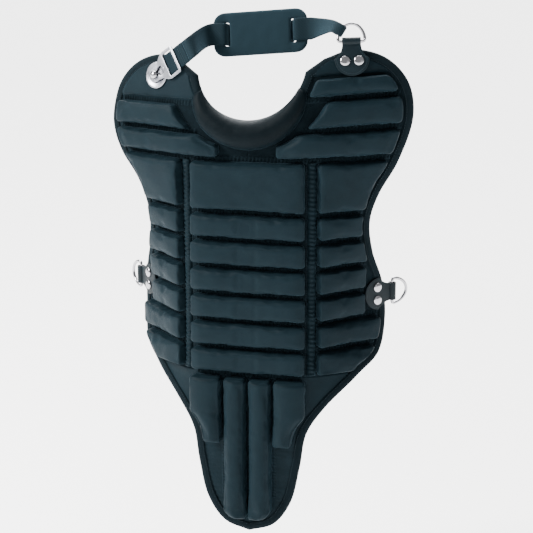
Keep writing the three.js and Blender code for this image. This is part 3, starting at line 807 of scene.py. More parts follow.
def sheet_flat(low, high, left, right):
    """A grid of flat places between two heights, with the numbers of its rows and columns."""
    rows = max(4, int(round((high - low) / SHEET_STEP)) + 1)
    middle = (low + high) / 2
    columns = max(4, int(round(float(right(middle) - left(middle)) / SHEET_STEP)) + 1)
    w, s = np.meshgrid(np.linspace(low, high, rows), np.linspace(0, 1, columns), indexing="ij")
    w, s = w.ravel(), s.ravel()
    return np.stack([lerp(left(w), right(w), s), w, 0 * w], axis=1), rows, columns


def slab(name, region, front, back, kind):
    """A closed sheet between two heights above the backing, which may be numbers or functions of a place."""
    flat, rows, columns = sheet_flat(*region)
    sides = []
    for value in (front, back):
        side = flat.copy()
        side[:, 2] = value(flat) if callable(value) else value
        sides.append(side)
    places = np.vstack(sides)
    return add_piece(name, drape(places), sheet_faces(rows, columns), kind, places)


def between_lines(x, lines):
    """0 on each sewn line and 1 halfway between two of them."""
    lines = np.sort(np.asarray(lines, float))
    i = np.clip(np.searchsorted(lines, x) - 1, 0, len(lines) - 2)
    share = np.clip((x - lines[i]) / (lines[i + 1] - lines[i]), 0, 1)
    return np.sqrt(np.clip(4 * share * (1 - share), 0, 1))


CHANNELS = [TAIL_TOP + i * BAR_PITCH for i in range(BARS + 1)] + [YOKE_LOW]


def quilted(across_lines, up_lines, seed):
    """The back of the lining: soft pillows between the sewn lines."""

    def height(flat):
        puff = between_lines(flat[:, 0], across_lines) * between_lines(flat[:, 1], up_lines)
        return -BACKING + 1.6 - 1.6 * puff + wrinkled(flat, 0.35, 30.0, seed)

    return height


def soft_front(depth, pitch, seed):
    return lambda flat: wrinkled(flat, depth, pitch, seed)


def add_layers(name, region, front_kind, front, back, move):
    """The front cloth, which is given back, and the lining of one region."""
    cloth = slab(f"front_cloth_{name}", region, front, -CLOTH_LAYER, front_kind)
    lining = slab(f"lining_{name}", region, -CLOTH_LAYER - 0.2, back, "lining")
    for piece in (cloth, lining):
        move(piece)
    return cloth


def add_backing():
    edge = half_width(SHEET_INSET)
    seam = SEAM_U - FLAT_SEAM
    seams = [-SEAM_U, SEAM_U]
    region = (TAIL_TOP + FLAT_SEAM, YOKE_LOW - FLAT_SEAM, at(-seam), at(seam))
    back = quilted(seams, CHANNELS, 2)
    centre = add_layers("centre", region, "mesh", soft_front(0.4, 18, 1), back, on_vest)
    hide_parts("backing_centre")
    for name, side in SIDES:
        sides = mirrored(side, at(SEAM_U + FLAT_SEAM), edge)
        back = quilted([-300, -260, *seams, 260, 300], CHANNELS, 3)
        front = soft_front(0.4, 18, 4)
        halves = (("upper", SPLIT_W, YOKE_LOW - FLAT_SEAM), ("lower", TAIL_TOP + FLAT_SEAM, SPLIT_W))
        for end, low, high in halves:
            move = wing_mover(name, low, high)
            wing = add_layers(f"wing_{name}_{end}", (low, high, *sides), "mesh", front, back, move)
            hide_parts(f"backing_wing_{name}")
        neck = neck_side(0)
        inner = lambda w: np.maximum(neck(w) + SHEET_INSET * smoothstep(w, 356, 392), 0)
        region = (YOKE_LOW + FLAT_SEAM, outline[top_index, 1] - SHEET_INSET, *mirrored(side, inner, edge))
        back = quilted([-260, *seams, 260], [YOKE_LOW, YOKE_MID, YOKE_HIGH, 470], 6)
        yoke = add_layers(f"yoke_{name}", region, "mesh", soft_front(0.4, 18, 5), back, on_vest)
        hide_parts("backing_yoke")
    region = (-258 + SHEET_INSET, TAIL_TOP - FLAT_SEAM, lambda w: -edge(w), edge)
    back = quilted([-220, -TUBE_SEAM_U, 0, TUBE_SEAM_U, 220], [-260, SHORT_TUBE_LOW, TAIL_TOP], 7)
    tail = add_layers("tail", region, "nylon", tail_front, back, move_with_tail)
    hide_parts("backing_tail")


def tail_front(flat):
    """Flat cloth on the tail, with pleats below the short tubes and on the gussets."""
    u, w = np.abs(flat[:, 0]), flat[:, 1]
    below = smoothstep(-w, 118, 132)
    pleats = np.sin(w * 2 * math.pi / 7.5 + 1.2 * np.sin(w / 13) + u * 0.12) * below * smoothstep(u, 36, 42)
    return 0.7 * pleats + wrinkled(flat, 0.8, 26.0, 8)


def add_patches():
    """Flat nylon on the tops of the shoulders, under the stud and the tab."""
    for name, side in SIDES:
        low = YOKE_HIGH + 3 if side < 0 else PATCH_LOW + 1
        neck = neck_side(0)
        inner = lambda w: neck(w) + BINDING_WIDTH - 1
        sides = mirrored(side, inner, half_width(BINDING_WIDTH - 1))

        def front(flat, low=low):
            return 1.9 * smoothstep(flat[:, 1], low - 1, low + 5) + wrinkled(flat, 0.5, 24.0, 9) + 0.3

        region = (low, outline[top_index, 1] - BINDING_WIDTH, *sides)
        piece = slab(f"shoulder_patch_{name}", region, front, 0.05, "nylon")
        on_vest(piece)


# ---------------------------------------------------------------- gathered strips in the channels and seams


def ruched(name, path, width, crown, depth, pitch, seed, kind="mesh", move=on_vest):
    """A gathered strip along a flat path: its height is the crown, and pleats of a pitch cross it."""
    path = spaced(np.asarray(path, float), pitch / 5)
    along = directions(path)
    reach = np.arange(len(path)) * pitch / 5
    local = np.random.default_rng(seed)
    knots = np.arange(0, reach[-1] + 4 * pitch, 2 * pitch)
    drift = np.interp(reach, knots, local.uniform(-0.35, 0.35, len(knots)).cumsum() * 0.8)
    strength = np.interp(reach, knots, local.uniform(0.5, 1.2, len(knots)))
    shares = np.linspace(-1, 1, 7)
    flat = []
    for c in shares:
        lift = (1 - c * c) ** 0.5 if abs(c) < 1 else 0
        pleat = np.sin(2 * math.pi * reach / pitch + drift * 6 + 0.9 * c)
        n = 0.35 + lift * (crown + depth * strength * pleat)
        u = path[:, 0] + along[:, 1] * c * width / 2
        w = path[:, 1] - along[:, 0] * c * width / 2
        flat.append(np.stack([u, w, n], axis=1))
    front = np.vstack(flat)
    under = front.copy()
    under[:, 2] = 0.1
    places = np.vstack([front, under])
    piece = add_piece(name, drape(places), sheet_faces(len(shares), len(path), flipped=True), kind, places)
    move(piece)


def add_channels():
    """The gathered cloth between the pads, and the two flex bands beside the wings' seams."""
    half = SEAM_U - 8
    for i, w in enumerate(CHANNELS[:-1]):
        ruched(f"channel_centre_{i + 1}", [(-half, w), (half, w)], BAR_GAP + 2, 0.8, 0.9, 5.0, 60 + i)
    outer = half_width(PAD_INSET - 2)
    reach = float(outer(YOKE_LOW))
    ruched("channel_yoke_low", [(-reach, YOKE_LOW), (reach, YOKE_LOW)], BAR_GAP + 1, 1.2, 0.9, 5.0, 70)
    for name, side in SIDES:
        for i, w in enumerate(CHANNELS[1:-1]):
            ends = [(side * (SEAM_U + 13), w), (side * float(outer(w)), w)]
            ruched(f"channel_wing_{name}_{i + 1}", ends, BAR_GAP + 1, 0.6, 0.8, 5.0, 80 + i,
                   move=wing_mover(name, w - 4, w + 4))
        for label, w, inset in (("mid", YOKE_MID, ROLL_WIDTH + 2), ("high", YOKE_HIGH, PAD_INSET)):
            ends = [(side * max(float(neck_half(w, inset)), 44), w), (side * float(outer(w)), w)]
            ruched(f"channel_shoulder_{name}_{label}", ends, BAR_GAP + 1, 0.8, 0.9, 5.0, 90 + int(w))
        u = side * (SEAM_U + 5.4)
        for end, low, high in (("upper", SPLIT_W, YOKE_LOW - 3), ("lower", TAIL_TOP + 2, SPLIT_W)):
            ruched(f"flex_band_{name}_{end}", [(u, low), (u, high)], 12.6, 4.4, 1.1, 6.5, 95, "nylon",
                   wing_mover(name, low, high))
    for label, u, low in (("middle", 0, -240), ("left", -TUBE_SEAM_U, -205), ("right", TUBE_SEAM_U, -205)):
        ends = [(u, TAIL_TOP - 6), (u, low)]
        ruched(f"channel_tail_{label}", ends, BAR_GAP - 1, 0.4, 0.5, 4.5, 99, "nylon", move_with_tail)


# ---------------------------------------------------------------- the neck roll and the binding


def add_neck_roll():
    """A stuffed tube bent round the neckline, which closes over its edge and thins out to both ends."""
    steps, around = 90, 28
    turn = np.linspace(0, 2 * math.pi, around, endpoint=False)
    c, s = np.cos(turn), np.sin(turn)
    flat = []
    reach = ROLL_ANGLE + 5
    for angle in np.linspace(-reach, reach, steps):
        fullness = max(math.cos(math.radians(angle) / math.radians(reach) * math.pi / 2), 0) ** 0.7
        width = lerp(ROLL_WIDTH_END - 6, ROLL_WIDTH + 2, fullness)
        high = lerp(ROLL_HEIGHT_END, ROLL_HEIGHT, fullness)
        lip = lerp(2.0, BACKING + 1.5, fullness)
        radius = NECK_RADIUS - 1.5 + width / 2 - c * width / 2
        inner = smoothstep(c, -0.2, 1.0)
        n = np.where(s >= 0, high * np.abs(s) ** 0.85, -(0.2 + lip * inner) * np.abs(s) ** 0.6)
        a = math.radians(angle)
        creases = 0.16 * np.sin(angle * 0.23 + 3 * c) + 0.07 * np.sin(angle * 0.61 + 5 * s)
        n = n + np.where(s > 0.1, creases, 0)
        flat.append(np.stack([radius * math.sin(a), NECK_W - radius * math.cos(a), n], axis=1))
    flat = np.vstack(flat)
    # Its material is the nylon darkened with painted shade.
    piece = add_piece("neck_roll_cover", drape(flat), tube_faces(steps, around), "roll", flat)
    close_up(piece)
    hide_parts("neck_roll")
    on_vest(piece)


# The folded tape's section: distance in from the raw edge, and height above the backing's front.
TAPE_PROFILE = [
    (12.0, 0.5), (11.6, 1.5), (8.5, 2.1), (5.0, 2.2), (2.0, 1.7), (0.2, 0.4), (-0.8, -1.6), (-1.0, -3.4),
    (-0.6, -5.2), (0.6, -6.9), (2.6, -7.9), (5.5, -8.2), (9.0, -8.1), (11.6, -7.5), (12.0, -6.4),
]


def index_at(w):
    """The index of the outer edge's point nearest a height."""
    return top_index + int(np.argmin(np.abs(outline[top_index:, 1] - w)))


def neck_index(degrees):
    """The index of the neckline's point at an angle round from its middle."""
    w = NECK_W - NECK_RADIUS * math.cos(math.radians(degrees))
    return int(np.argmin(np.abs(outline[:top_index, 1] - w)))


def edge_runs(name, start):
    """The runs of one side's edge from a start on: a name, the first and last index, and how it moves."""
    low, split, high = index_at(TAIL_TOP), index_at(SPLIT_W), index_at(YOKE_LOW)
    return [
        (f"shoulder_{name}", start, high, on_vest),
        (f"wing_{name}_upper", high, split, wing_mover(name, SPLIT_W, YOKE_LOW)),
        (f"wing_{name}_lower", split, low, wing_mover(name, TAIL_TOP, SPLIT_W)),
        (f"tail_{name}", low, len(outline) - 1, move_with_tail),
    ]


def binding(name, first, last, side, replaced, move):
    """Tape folded over the raw edge along part of the outline."""
    indices = np.arange(first, last + 1)
    profile = np.array(TAPE_PROFILE)
    rings = []
    layout = []
    around = reach_along(profile)
    for k, (inset, n) in enumerate(profile):
        line = inset_outline(inset)[indices]
        gather = 0.18 * np.sin(np.arange(len(line)) * 1.9 + k)
        rings.append(np.stack([side * line[:, 0], line[:, 1], n + gather * (2 < inset < 11)], axis=1))
        layout.append(np.stack([indices * OUTLINE_STEP, 0 * indices + around[k], 0 * indices], axis=1))
    count, turns = len(profile), len(indices)
    flat = np.stack(rings, axis=1).reshape(-1, 3)
    cloth = np.stack(layout, axis=1).reshape(-1, 3)
    piece = add_piece(name, drape(flat), tube_faces(turns, count), "tape", cloth)
    close_up(piece)
    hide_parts(replaced)
    move(piece)


def add_bindings():
    for name, side in SIDES:
        for label, first, last, move in edge_runs(name, neck_index(ROLL_ANGLE - 12)):
            part = label.split("_")[0]
            replaced = "binding_tail" if part == "tail" else f"binding_{part}_{name}"
            binding(f"tape_{label}", first, last, side, replaced, move)


# ---------------------------------------------------------------- stitches

STITCH = (2.3, 3.4, 0.34)  # length, pitch and half thickness of a stitch


def stitches(name, flat_path, move, place=drape):
    """A row of stitches along a path of flat places, or of places in a fitting's frame."""
    length, pitch, half = STITCH
    path = spaced(np.asarray(flat_path, float), pitch)
    lift = np.array([0, 0, 1.0])
    places, faces = [], []
    for p, d in zip(path, directions(path)):
        across = np.array([-d[1], d[0], 0])
        base = len(places)
        for reach, size in ((-0.5, 0.35), (-0.25, 1.0), (0.25, 1.0), (0.5, 0.35)):
            centre = p + d * reach * length + lift * (0.15 if size == 1.0 else -0.15)
            for a, b in ((1, 0), (0, 1), (-1, 0), (0, -1)):
                places.append(centre + (across * a + lift * b) * half * size)
        faces += [[base + i for i in f] for f in tube_faces(4, 4)]
    piece = add_piece(name, place(np.array(places)), faces, "thread")
    close_up(piece)
    move(piece)


def add_stitches():
    edge = inset_outline(BINDING_WIDTH - 2.2)
    for name, side in SIDES:
        for label, first, last, move in edge_runs(name, neck_index(ROLL_ANGLE + 4)):
            line = edge[first:min(last, len(edge) - 4) + 1]
            row = np.stack([side * line[:, 0], line[:, 1], 0 * line[:, 0] + 1.75], axis=1)
            stitches(f"edge_stitch_{label}", row, move)
        u = side * (SEAM_U - 2.6)
        stitches(f"seam_stitch_{name}", [(u, TAIL_TOP + 3, 0.7), (u, YOKE_LOW - 5, 0.7)], on_vest)
    outer = float(half_width(BINDING_WIDTH + 1)(YOKE_HIGH + 5))
    inner = float(neck_side(0)(YOKE_HIGH + 5)) + BINDING_WIDTH + 1
    stitches("patch_stitch", [(-inner, YOKE_HIGH + 6, 2.4), (-outer, YOKE_HIGH + 6, 2.4)], on_vest)


add_backing()
add_patches()
add_channels()
add_neck_roll()
add_bindings()
add_stitches()

# ---------------------------------------------------------------- the fittings
#
# A fitting stands in a frame of its own, in millimetres: +Y points away from the vest's middle, along the
# strap or the ring, and +Z points out of the fabric.

WIRE_RADIUS = 2.2
RING_HALF = 19.0  # half of the ring's bar
RING_REACH = 25.0  # from the bar to the top of the bow
TAB_HALF = 24.0
TAB_FOLD_HALF = 13.0
TAB_LENGTH = 48.0
TAB_THICKNESS = 2.0
TAB_REST = 4.0  # height of the tab's back above the backing
RING_PLAY = 1.6  # room round the ring's bar in its sleeve
RIVET_RADIUS = 7.0
RIVET_SPREAD = 9.5
RIVET_REACH = 27.0
SHOULDER_RING = (139.0, 458.0)
SHOULDER_TAB_REST = 6.5
SHOULDER_TAB_TILT = -6.0
STUD_PLACE = (-147.0, 417.0)
HOOK_ANGLE = 33.0
WASHER_RADIUS = 19.0
WASHER_REST = 1.8
WASHER_RIM = 3.0
HOOK_THICKNESS = 2.0
HOOK_REST = WASHER_REST + WASHER_RIM + 0.3
HOOK_LENGTH = 45.0
FRAME_START = 21.0
FRAME_HALF = 21.5
FRAME_WALL = 4.5
KEYHOLE_REACH = 12.0
WEB_WIDTH = 32.0
WEB_THICKNESS = 2.0
WEB_JOIN = 62.0  # from the stud to the end of the doubled webbing
FOLD_THICKNESS = 2.6
FOLD_REST = HOOK_REST - 0.3 - FOLD_THICKNESS / 2
NECK_PAD_CENTRE = Vector((-1.6, 75, 356))
NECK_PAD_TILT = 6.0
NECK_PAD_LEAN = 18.0
NECK_PAD_HALF = (68.5, 31.5)
NECK_PAD_THICKNESS = 9.0
NECK_PAD_CORNER = 17.0
NECK_SLOT_REACH = 48.0
NECK_SLOT_HALF = (3.6, 16.8)
LOOP_CENTRE = (-14.6, 16.1)  # where the webbing goes round the shoulder ring's bow
LOOP_TILT = 57.0
LOOP_RADIUS = 5.0
LOOP_WIDTH = 16.0


def turned(axis, degrees):
    return Matrix.Rotation(math.radians(degrees), 4, axis)


def body_frame(u, w):
    """A place on the front of the backing in millimetres, with its directions up and out."""
    foot, tip = drape([(u, w, 0), (u, w, 1)]) / MM
    lean = max(0.0, w - LEAN_START) / LEAN_RADIUS
    return Vector(foot), Vector((0, math.sin(lean), math.cos(lean))), Vector(tip - foot)


def fitting(place, rest, degrees, tilt=0.0):
    """The frame of a fitting, in metres for points in millimetres."""
    foot, up, out = body_frame(*place)
    side = up.cross(out).normalized()
    up = out.cross(side)
    basis = Matrix((side, up, out)).transposed().to_4x4()
    origin = Matrix.Translation((foot + out * rest) * MM)
    return origin @ basis @ turned("Z", degrees) @ turned("Y", tilt) @ Matrix.Scale(MM, 4)


def in_frame(matrix, points):
    """Points given in a frame, as an array in metres."""
    m = np.array(matrix)
    return np.asarray(points, float) @ m[:3, :3].T + m[:3, 3]


def circle(count):
    """Angles all the way round."""
    return np.linspace(0, 2 * math.pi, count, endpoint=False)


def softened(points, radius, steps=4):
    """A path with its inner corners rounded off."""
    p = np.array(points, float)
    out = [p[0]]
    for before, here, after in zip(p[:-2], p[1:-1], p[2:]):
        legs = [before - here, after - here]
        cut = [leg * min(0.45, radius / max(np.linalg.norm(leg), 1e-9)) for leg in legs]
        for t in np.linspace(0, 1, steps + 1):
            out.append(here + cut[0] * (1 - t) ** 2 + cut[1] * t ** 2)
    out.append(p[-1])
    return np.array(out)


def lathed(name, profile, matrix, kind, segments=48):
    """A solid of revolution about its frame's Z, whose profile starts and ends on the axis."""
    angles = circle(segments)
    rings = []
    for r, z in profile:
        r = max(r, 0.02)
        rings.append(np.stack([r * np.cos(angles), r * np.sin(angles), z + 0 * angles], axis=1))
    piece = add_piece(name, in_frame(matrix, np.vstack(rings)), tube_faces(len(rings), segments), kind)
    close_up(piece)
    return piece


def plate(name, outlines, depth, bevel, matrix, kind):
    """A plate with rounded edges, its back at z = 0, from a closed outline and the outlines of its holes."""
    curve = bpy.data.curves.new(name, "CURVE")
    curve.dimensions = "2D"
    curve.fill_mode = "BOTH"
    curve.extrude = depth / 2 - bevel
    curve.bevel_depth = bevel
    curve.bevel_resolution = 3
    curve.offset = -bevel
    for points in outlines:
        spline = curve.splines.new("POLY")
        spline.points.add(len(points) - 1)
        for target, (x, y) in zip(spline.points, points):
            target.co = (x, y, 0, 1)
        spline.use_cyclic_u = True
    places, faces = taken_out(linked(name + "_outline", curve))
    places[:, 2] += depth / 2
    piece = add_piece(name, in_frame(matrix, places), faces, kind)
    with edited(piece) as work:
        bmesh.ops.remove_doubles(work, verts=work.verts, dist=0.02 * MM)
        bmesh.ops.recalc_face_normals(work, faces=work.faces)
        for face in work.faces:
            face.smooth = face.calc_area() < 40 * MM * MM
    piece.data.set_sharp_from_angle(angle=math.radians(40))
    return piece


def arc(centre, radius, first, last, steps=16):
    angles = np.radians(np.linspace(first, last, steps))
    return [(centre[0] + radius * math.cos(a), centre[1] + radius * math.sin(a)) for a in angles]


def curved(start, bend, end, steps=8):
    """A quadratic curve's points after its start."""
    t = np.linspace(0, 1, steps + 1)[1:, None]
    start, bend, end = (np.array(p, float) for p in (start, bend, end))
    return [tuple(p) for p in (1 - t) ** 2 * start + 2 * t * (1 - t) * bend + t ** 2 * end]


def wire_ring(name, matrix, body):
    """A D ring: a straight bar along X, rounded corners and a bow towards +Y."""
    bow = [(RING_HALF * math.cos(a), RING_REACH * math.sin(a)) for a in np.linspace(0, math.pi, 33)]
    bar = [(x, 0.0) for x in np.linspace(-RING_HALF, RING_HALF, 13)[1:-1]]
    closed = np.array(bow + bar)
    for _ in range(2):
        closed = (np.roll(closed, 1, axis=0) + 2 * closed + np.roll(closed, -1, axis=0)) / 4
    along = np.roll(closed, -1, axis=0) - np.roll(closed, 1, axis=0)
    along /= np.linalg.norm(along, axis=1)[:, None]
    outwards = np.stack([along[:, 1], -along[:, 0]], axis=1)
    around = 16
    side, high = WIRE_RADIUS * np.cos(circle(around)), WIRE_RADIUS * np.sin(circle(around))
    rings = [np.stack([x + out[0] * side, y + out[1] * side, high], axis=1)
             for (x, y), out in zip(closed, outwards)]
    faces = tube_faces(len(closed), around, closed=True)
    piece = add_piece(name + "_wire", in_frame(matrix, np.vstack(rings)), faces, "polished")
    close_up(piece)
    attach(piece, body)
    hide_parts(name)


def tab_outline(inset=0.0):
    """The leaf starts at the sleeve's inner wall, so the ring's bar has its play when the strap swings."""
    shoulder, round_start = -16.0, -TAB_LENGTH + TAB_HALF
    half, fold, top = TAB_HALF - inset, TAB_FOLD_HALF - inset, -WIRE_RADIUS - RING_PLAY
    points = [(-fold, top)] + curved((-fold, top), (-fold, shoulder), (-half, round_start))
    points += arc((0, round_start), half, 180, 360, 40)[1:]
    return points + curved((half, round_start), (fold, shoulder), (fold, top))


def leather_tab(name, matrix, body):
    """A round-ended leaf and the sleeve in which it is folded round the ring's bar."""
    leaf = plate(name + "_leaf", [tab_outline()], TAB_THICKNESS, 0.7, matrix, "leather")
    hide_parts(name)
    inner, outer = WIRE_RADIUS + RING_PLAY, WIRE_RADIUS + RING_PLAY + TAB_THICKNESS
    end = TAB_FOLD_HALF
    wall = softened([(inner, 0), (inner, -end), (outer, -end), (outer, end), (inner, end), (inner, 0)], 0.8)
    segments = 40
    angles = circle(segments)
    rings = [np.stack([z + 0 * angles, r * np.cos(angles), r * np.sin(angles)], axis=1) for r, z in wall[:-1]]
    faces = tube_faces(len(rings), segments, closed=True)
    sleeve = add_piece(name + "_sleeve", in_frame(matrix, np.vstack(rings)), faces, "leather")
    close_up(sleeve)
    row = [(x, y, TAB_THICKNESS + 0.1) for x, y in tab_outline(3.0)]
    stitches(name + "_stitch", row[4:-4], lambda p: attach(p, body), lambda p: in_frame(matrix, p))
    for piece in (leaf, sleeve):
        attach(piece, body)


def dome(radius, low, rise):
    """A dome's profile, from its edge to its top."""
    return [(radius * math.cos(a), low + rise * math.sin(a)) for a in np.linspace(0, math.pi / 2, 12)]


def ring_set(ring, tab, rivet, matrix, ring_body, tab_body):
    """A ring with its tab and the two rivets that hold the tab."""
    profile = [(0, 0), (RIVET_RADIUS - 0.4, 0), (RIVET_RADIUS, 0.35)] + dome(RIVET_RADIUS, 0.8, 2.6)
    wire_ring(ring, matrix, ring_body)
    leather_tab(tab, matrix, tab_body)
    for i, sign in enumerate((-1, 1)):
        seat = matrix @ Matrix.Translation((sign * RIVET_SPREAD, -RIVET_REACH, TAB_THICKNESS + 0.1))
        cap = lathed(f"{rivet}_{i + 1}_cap", profile, seat, "polished")
        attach(cap, tab_body)
        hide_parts(f"{rivet}_{i + 1}")


def hook_frame():
    return fitting(STUD_PLACE, 0, HOOK_ANGLE - 90)


def add_stud_and_hook():
    matrix = hook_frame()
    low, high = WASHER_REST, WASHER_REST + WASHER_RIM
    dish = softened([
        (0, low), (WASHER_RADIUS - 1, low), (WASHER_RADIUS, low + 1), (WASHER_RADIUS, high - 1),
        (WASHER_RADIUS - 2, high), (12.5, high - 1.4), (9, high - 1.4), (0, high - 1.2),
    ], 1.2)
    washer = lathed("stud_washer_dish", dish, matrix, "satin", 64)
    foot, neck, head = high - 1.2, 2.8, 6.0
    head_low = HOOK_REST + HOOK_THICKNESS + 0.4
    shank = [(0, foot), (neck, foot), (neck, head_low), (head - 1, head_low)]
    stud = lathed("stud_head", shank + dome(head, head_low + 1.5, 4.0), matrix, "polished")
    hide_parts("stud_washer")
    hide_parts("stud")
    tip, corner = 10.5, 5.0
    far, start = HOOK_LENGTH, FRAME_START
    right = curved((tip, 0), (tip, 7), (13, 12))
    right += curved((13, 12), (FRAME_HALF - 1, start - 2), (FRAME_HALF, start + corner))
    right += [(FRAME_HALF, far - corner)]
    right += curved((FRAME_HALF, far - corner), (FRAME_HALF, far), (FRAME_HALF - corner, far))
    shape = arc((0, 0), tip, 180, 360, 32) + right
    shape += [(-x, y) for x, y in reversed(right)]
    half, window_low, window_high = FRAME_HALF - FRAME_WALL, start + FRAME_WALL - 1, far - FRAME_WALL
    window = [(-half, window_low), (half, window_low), (half, window_high), (-half, window_high)]
    slot_half, mouth = 3.6, 6.6
    meet = math.degrees(math.asin(slot_half / mouth))
    keyhole = arc((0, 0), slot_half, 180, 360) + arc((0, KEYHOLE_REACH), mouth, -90 + meet, 270 - meet, 32)
    raised = matrix @ Matrix.Translation((0, 0, HOOK_REST))
    outlines = [shape, rounded_loop(window, 1.5), keyhole]
    hook = plate("hook_plate", outlines, HOOK_THICKNESS, 0.6, raised, "satin")
    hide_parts("hook")
    for piece in (washer, stud, hook):
        on_vest(piece)


def rounded_loop(points, radius):
    """A closed outline with rounded corners."""
    start = tuple((np.array(points[0]) + np.array(points[1])) / 2)
    return [tuple(p) for p in softened([start, *points[1:], points[0], start], radius)[:-1]]


# ---------------------------------------------------------------- the neck strap


def stations_in(matrix, direction, width, places):
    """Stations of a strap given in a frame: place in metres, direction of the width, and the width."""
    across = (matrix.to_3x3() @ Vector(direction)).normalized()
    return [(*in_frame(matrix, [place])[0], *across, width) for place in places]


def ribbon(name, stations, thickness, steps):
    """A strap through its stations, with soft edges and its weave laid out along it."""
    path = centripetal([s[:3] for s in stations], steps)
    share = np.linspace(0, len(stations) - 1, len(path))
    others = np.array(stations)[:, 3:]
    others = np.stack([np.interp(share, np.arange(len(stations)), others[:, k]) for k in range(4)], axis=1)
    along = np.gradient(path, axis=0)
    across = others[:, :3] / np.linalg.norm(others[:, :3], axis=1)[:, None]
    face = np.cross(along, across)
    face /= np.linalg.norm(face, axis=1)[:, None]
    reach = reach_along(path) / MM
    half = thickness / 2
    shares = np.linspace(-1, 1, 15)
    front, back = [(c, half) for c in shares], [(c, -half) for c in shares[::-1]]
    section = front + [(1.0, 0)] + back + [(-1.0, 0)]
    places, cloth = [], []
    for c, z in section:
        edge = 1 - 0.55 * max(0.0, (abs(c) - 0.93) / 0.07) if z else 1
        reach_across = c * (others[:, 3] / 2 - (half * 0.35 if z else 0))
        places.append(path + across * (reach_across * MM)[:, None] + face * z * edge * MM)
        cloth.append(np.stack([reach, reach_across, 0 * reach], axis=1))
    count, turns = len(section), len(path)
    places = np.stack(places, axis=1).reshape(-1, 3)
    cloth = np.stack(cloth, axis=1).reshape(-1, 3)
    piece = add_piece(name, places, tube_faces(turns, count), "webbing", cloth)
    close_up(piece)
    return piece


def shoulder_ring_frame():
    join = Vector(in_frame(hook_frame(), [(0, WEB_JOIN, FOLD_REST)])[0]) / MM
    foot, up, out = body_frame(*SHOULDER_RING)
    line = foot + out * SHOULDER_TAB_REST - join
    turn = turn_at(*SHOULDER_RING, 1)
    across = Vector((math.cos(turn), math.sin(turn), 0))
    degrees = math.degrees(math.atan2(line.dot(up), line.dot(across)))
    return fitting(SHOULDER_RING, SHOULDER_TAB_REST, degrees, SHOULDER_TAB_TILT)


def neck_pad_frame():
    return (Matrix.Translation(NECK_PAD_CENTRE * MM) @ turned("X", 90 - NECK_PAD_LEAN)
            @ turned("Z", NECK_PAD_TILT) @ Matrix.Scale(MM, 4))


def add_neck_strap(ring):
    """The webbing: doubled at the hook, through the pad's slots, and looped over the shoulder ring."""
    hook = hook_frame()
    layer = FOLD_THICKNESS / 2 - 0.05
    for name, z, far in (("front", layer / 2, WEB_JOIN), ("back", -layer / 2, WEB_JOIN - 0.4)):
        places = [(0, y, FOLD_REST + z) for y in np.linspace(FRAME_START + 1.5, far, 5)]
        doubled = ribbon(f"webbing_fold_{name}", stations_in(hook, (-1, 0, 0), WEB_WIDTH, places), layer, 6)
        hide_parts("webbing_fold")
        on_vest(doubled)
    clear = NECK_PAD_THICKNESS / 2 + WEB_THICKNESS / 2 + 1
    dip, reach, end = 3, NECK_SLOT_REACH, NECK_PAD_HALF[0]
    over_pad = [(-end - 4, clear + 1), (-reach - dip, clear), (-reach + dip, -clear), (0, -clear),
                (reach - dip, -clear), (reach + dip, clear), (end + 6, clear)]
    bow = ring @ Matrix.Translation((*LOOP_CENTRE, 0)) @ turned("Z", LOOP_TILT)
    r, slant = LOOP_RADIUS, LOOP_RADIUS * math.sqrt(0.5)
    loop = [(0, r + 3, r - 3), (0, 0, r), (0, -slant, slant), (0, -r, 0), (0, -slant, -slant), (0, 0, -r),
            (0, r + 5, -r - 3)]
    stations = stations_in(hook, (-1, 0, 0), WEB_WIDTH, [(0, WEB_JOIN - 2 + y, FOLD_REST) for y in (2.5, 14)])
    stations += stations_in(neck_pad_frame(), (0, 1, 0), WEB_WIDTH, [(x, 0, z) for x, z in over_pad])
    stations += stations_in(bow, (1, 0, 0), LOOP_WIDTH, loop)
    strap = ribbon("neck_webbing_strap", stations, WEB_THICKNESS, 10)
    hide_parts("neck_webbing")
    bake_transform(strap)
    for k, y in enumerate((WEB_JOIN - 7, WEB_JOIN - 10)):
        row = [(x, y, FOLD_REST + FOLD_THICKNESS / 2 + 0.05) for x in np.linspace(-13, 13, 9)]
        stitches(f"webbing_stitch_{k + 1}", row, on_vest, lambda p: in_frame(hook, p))


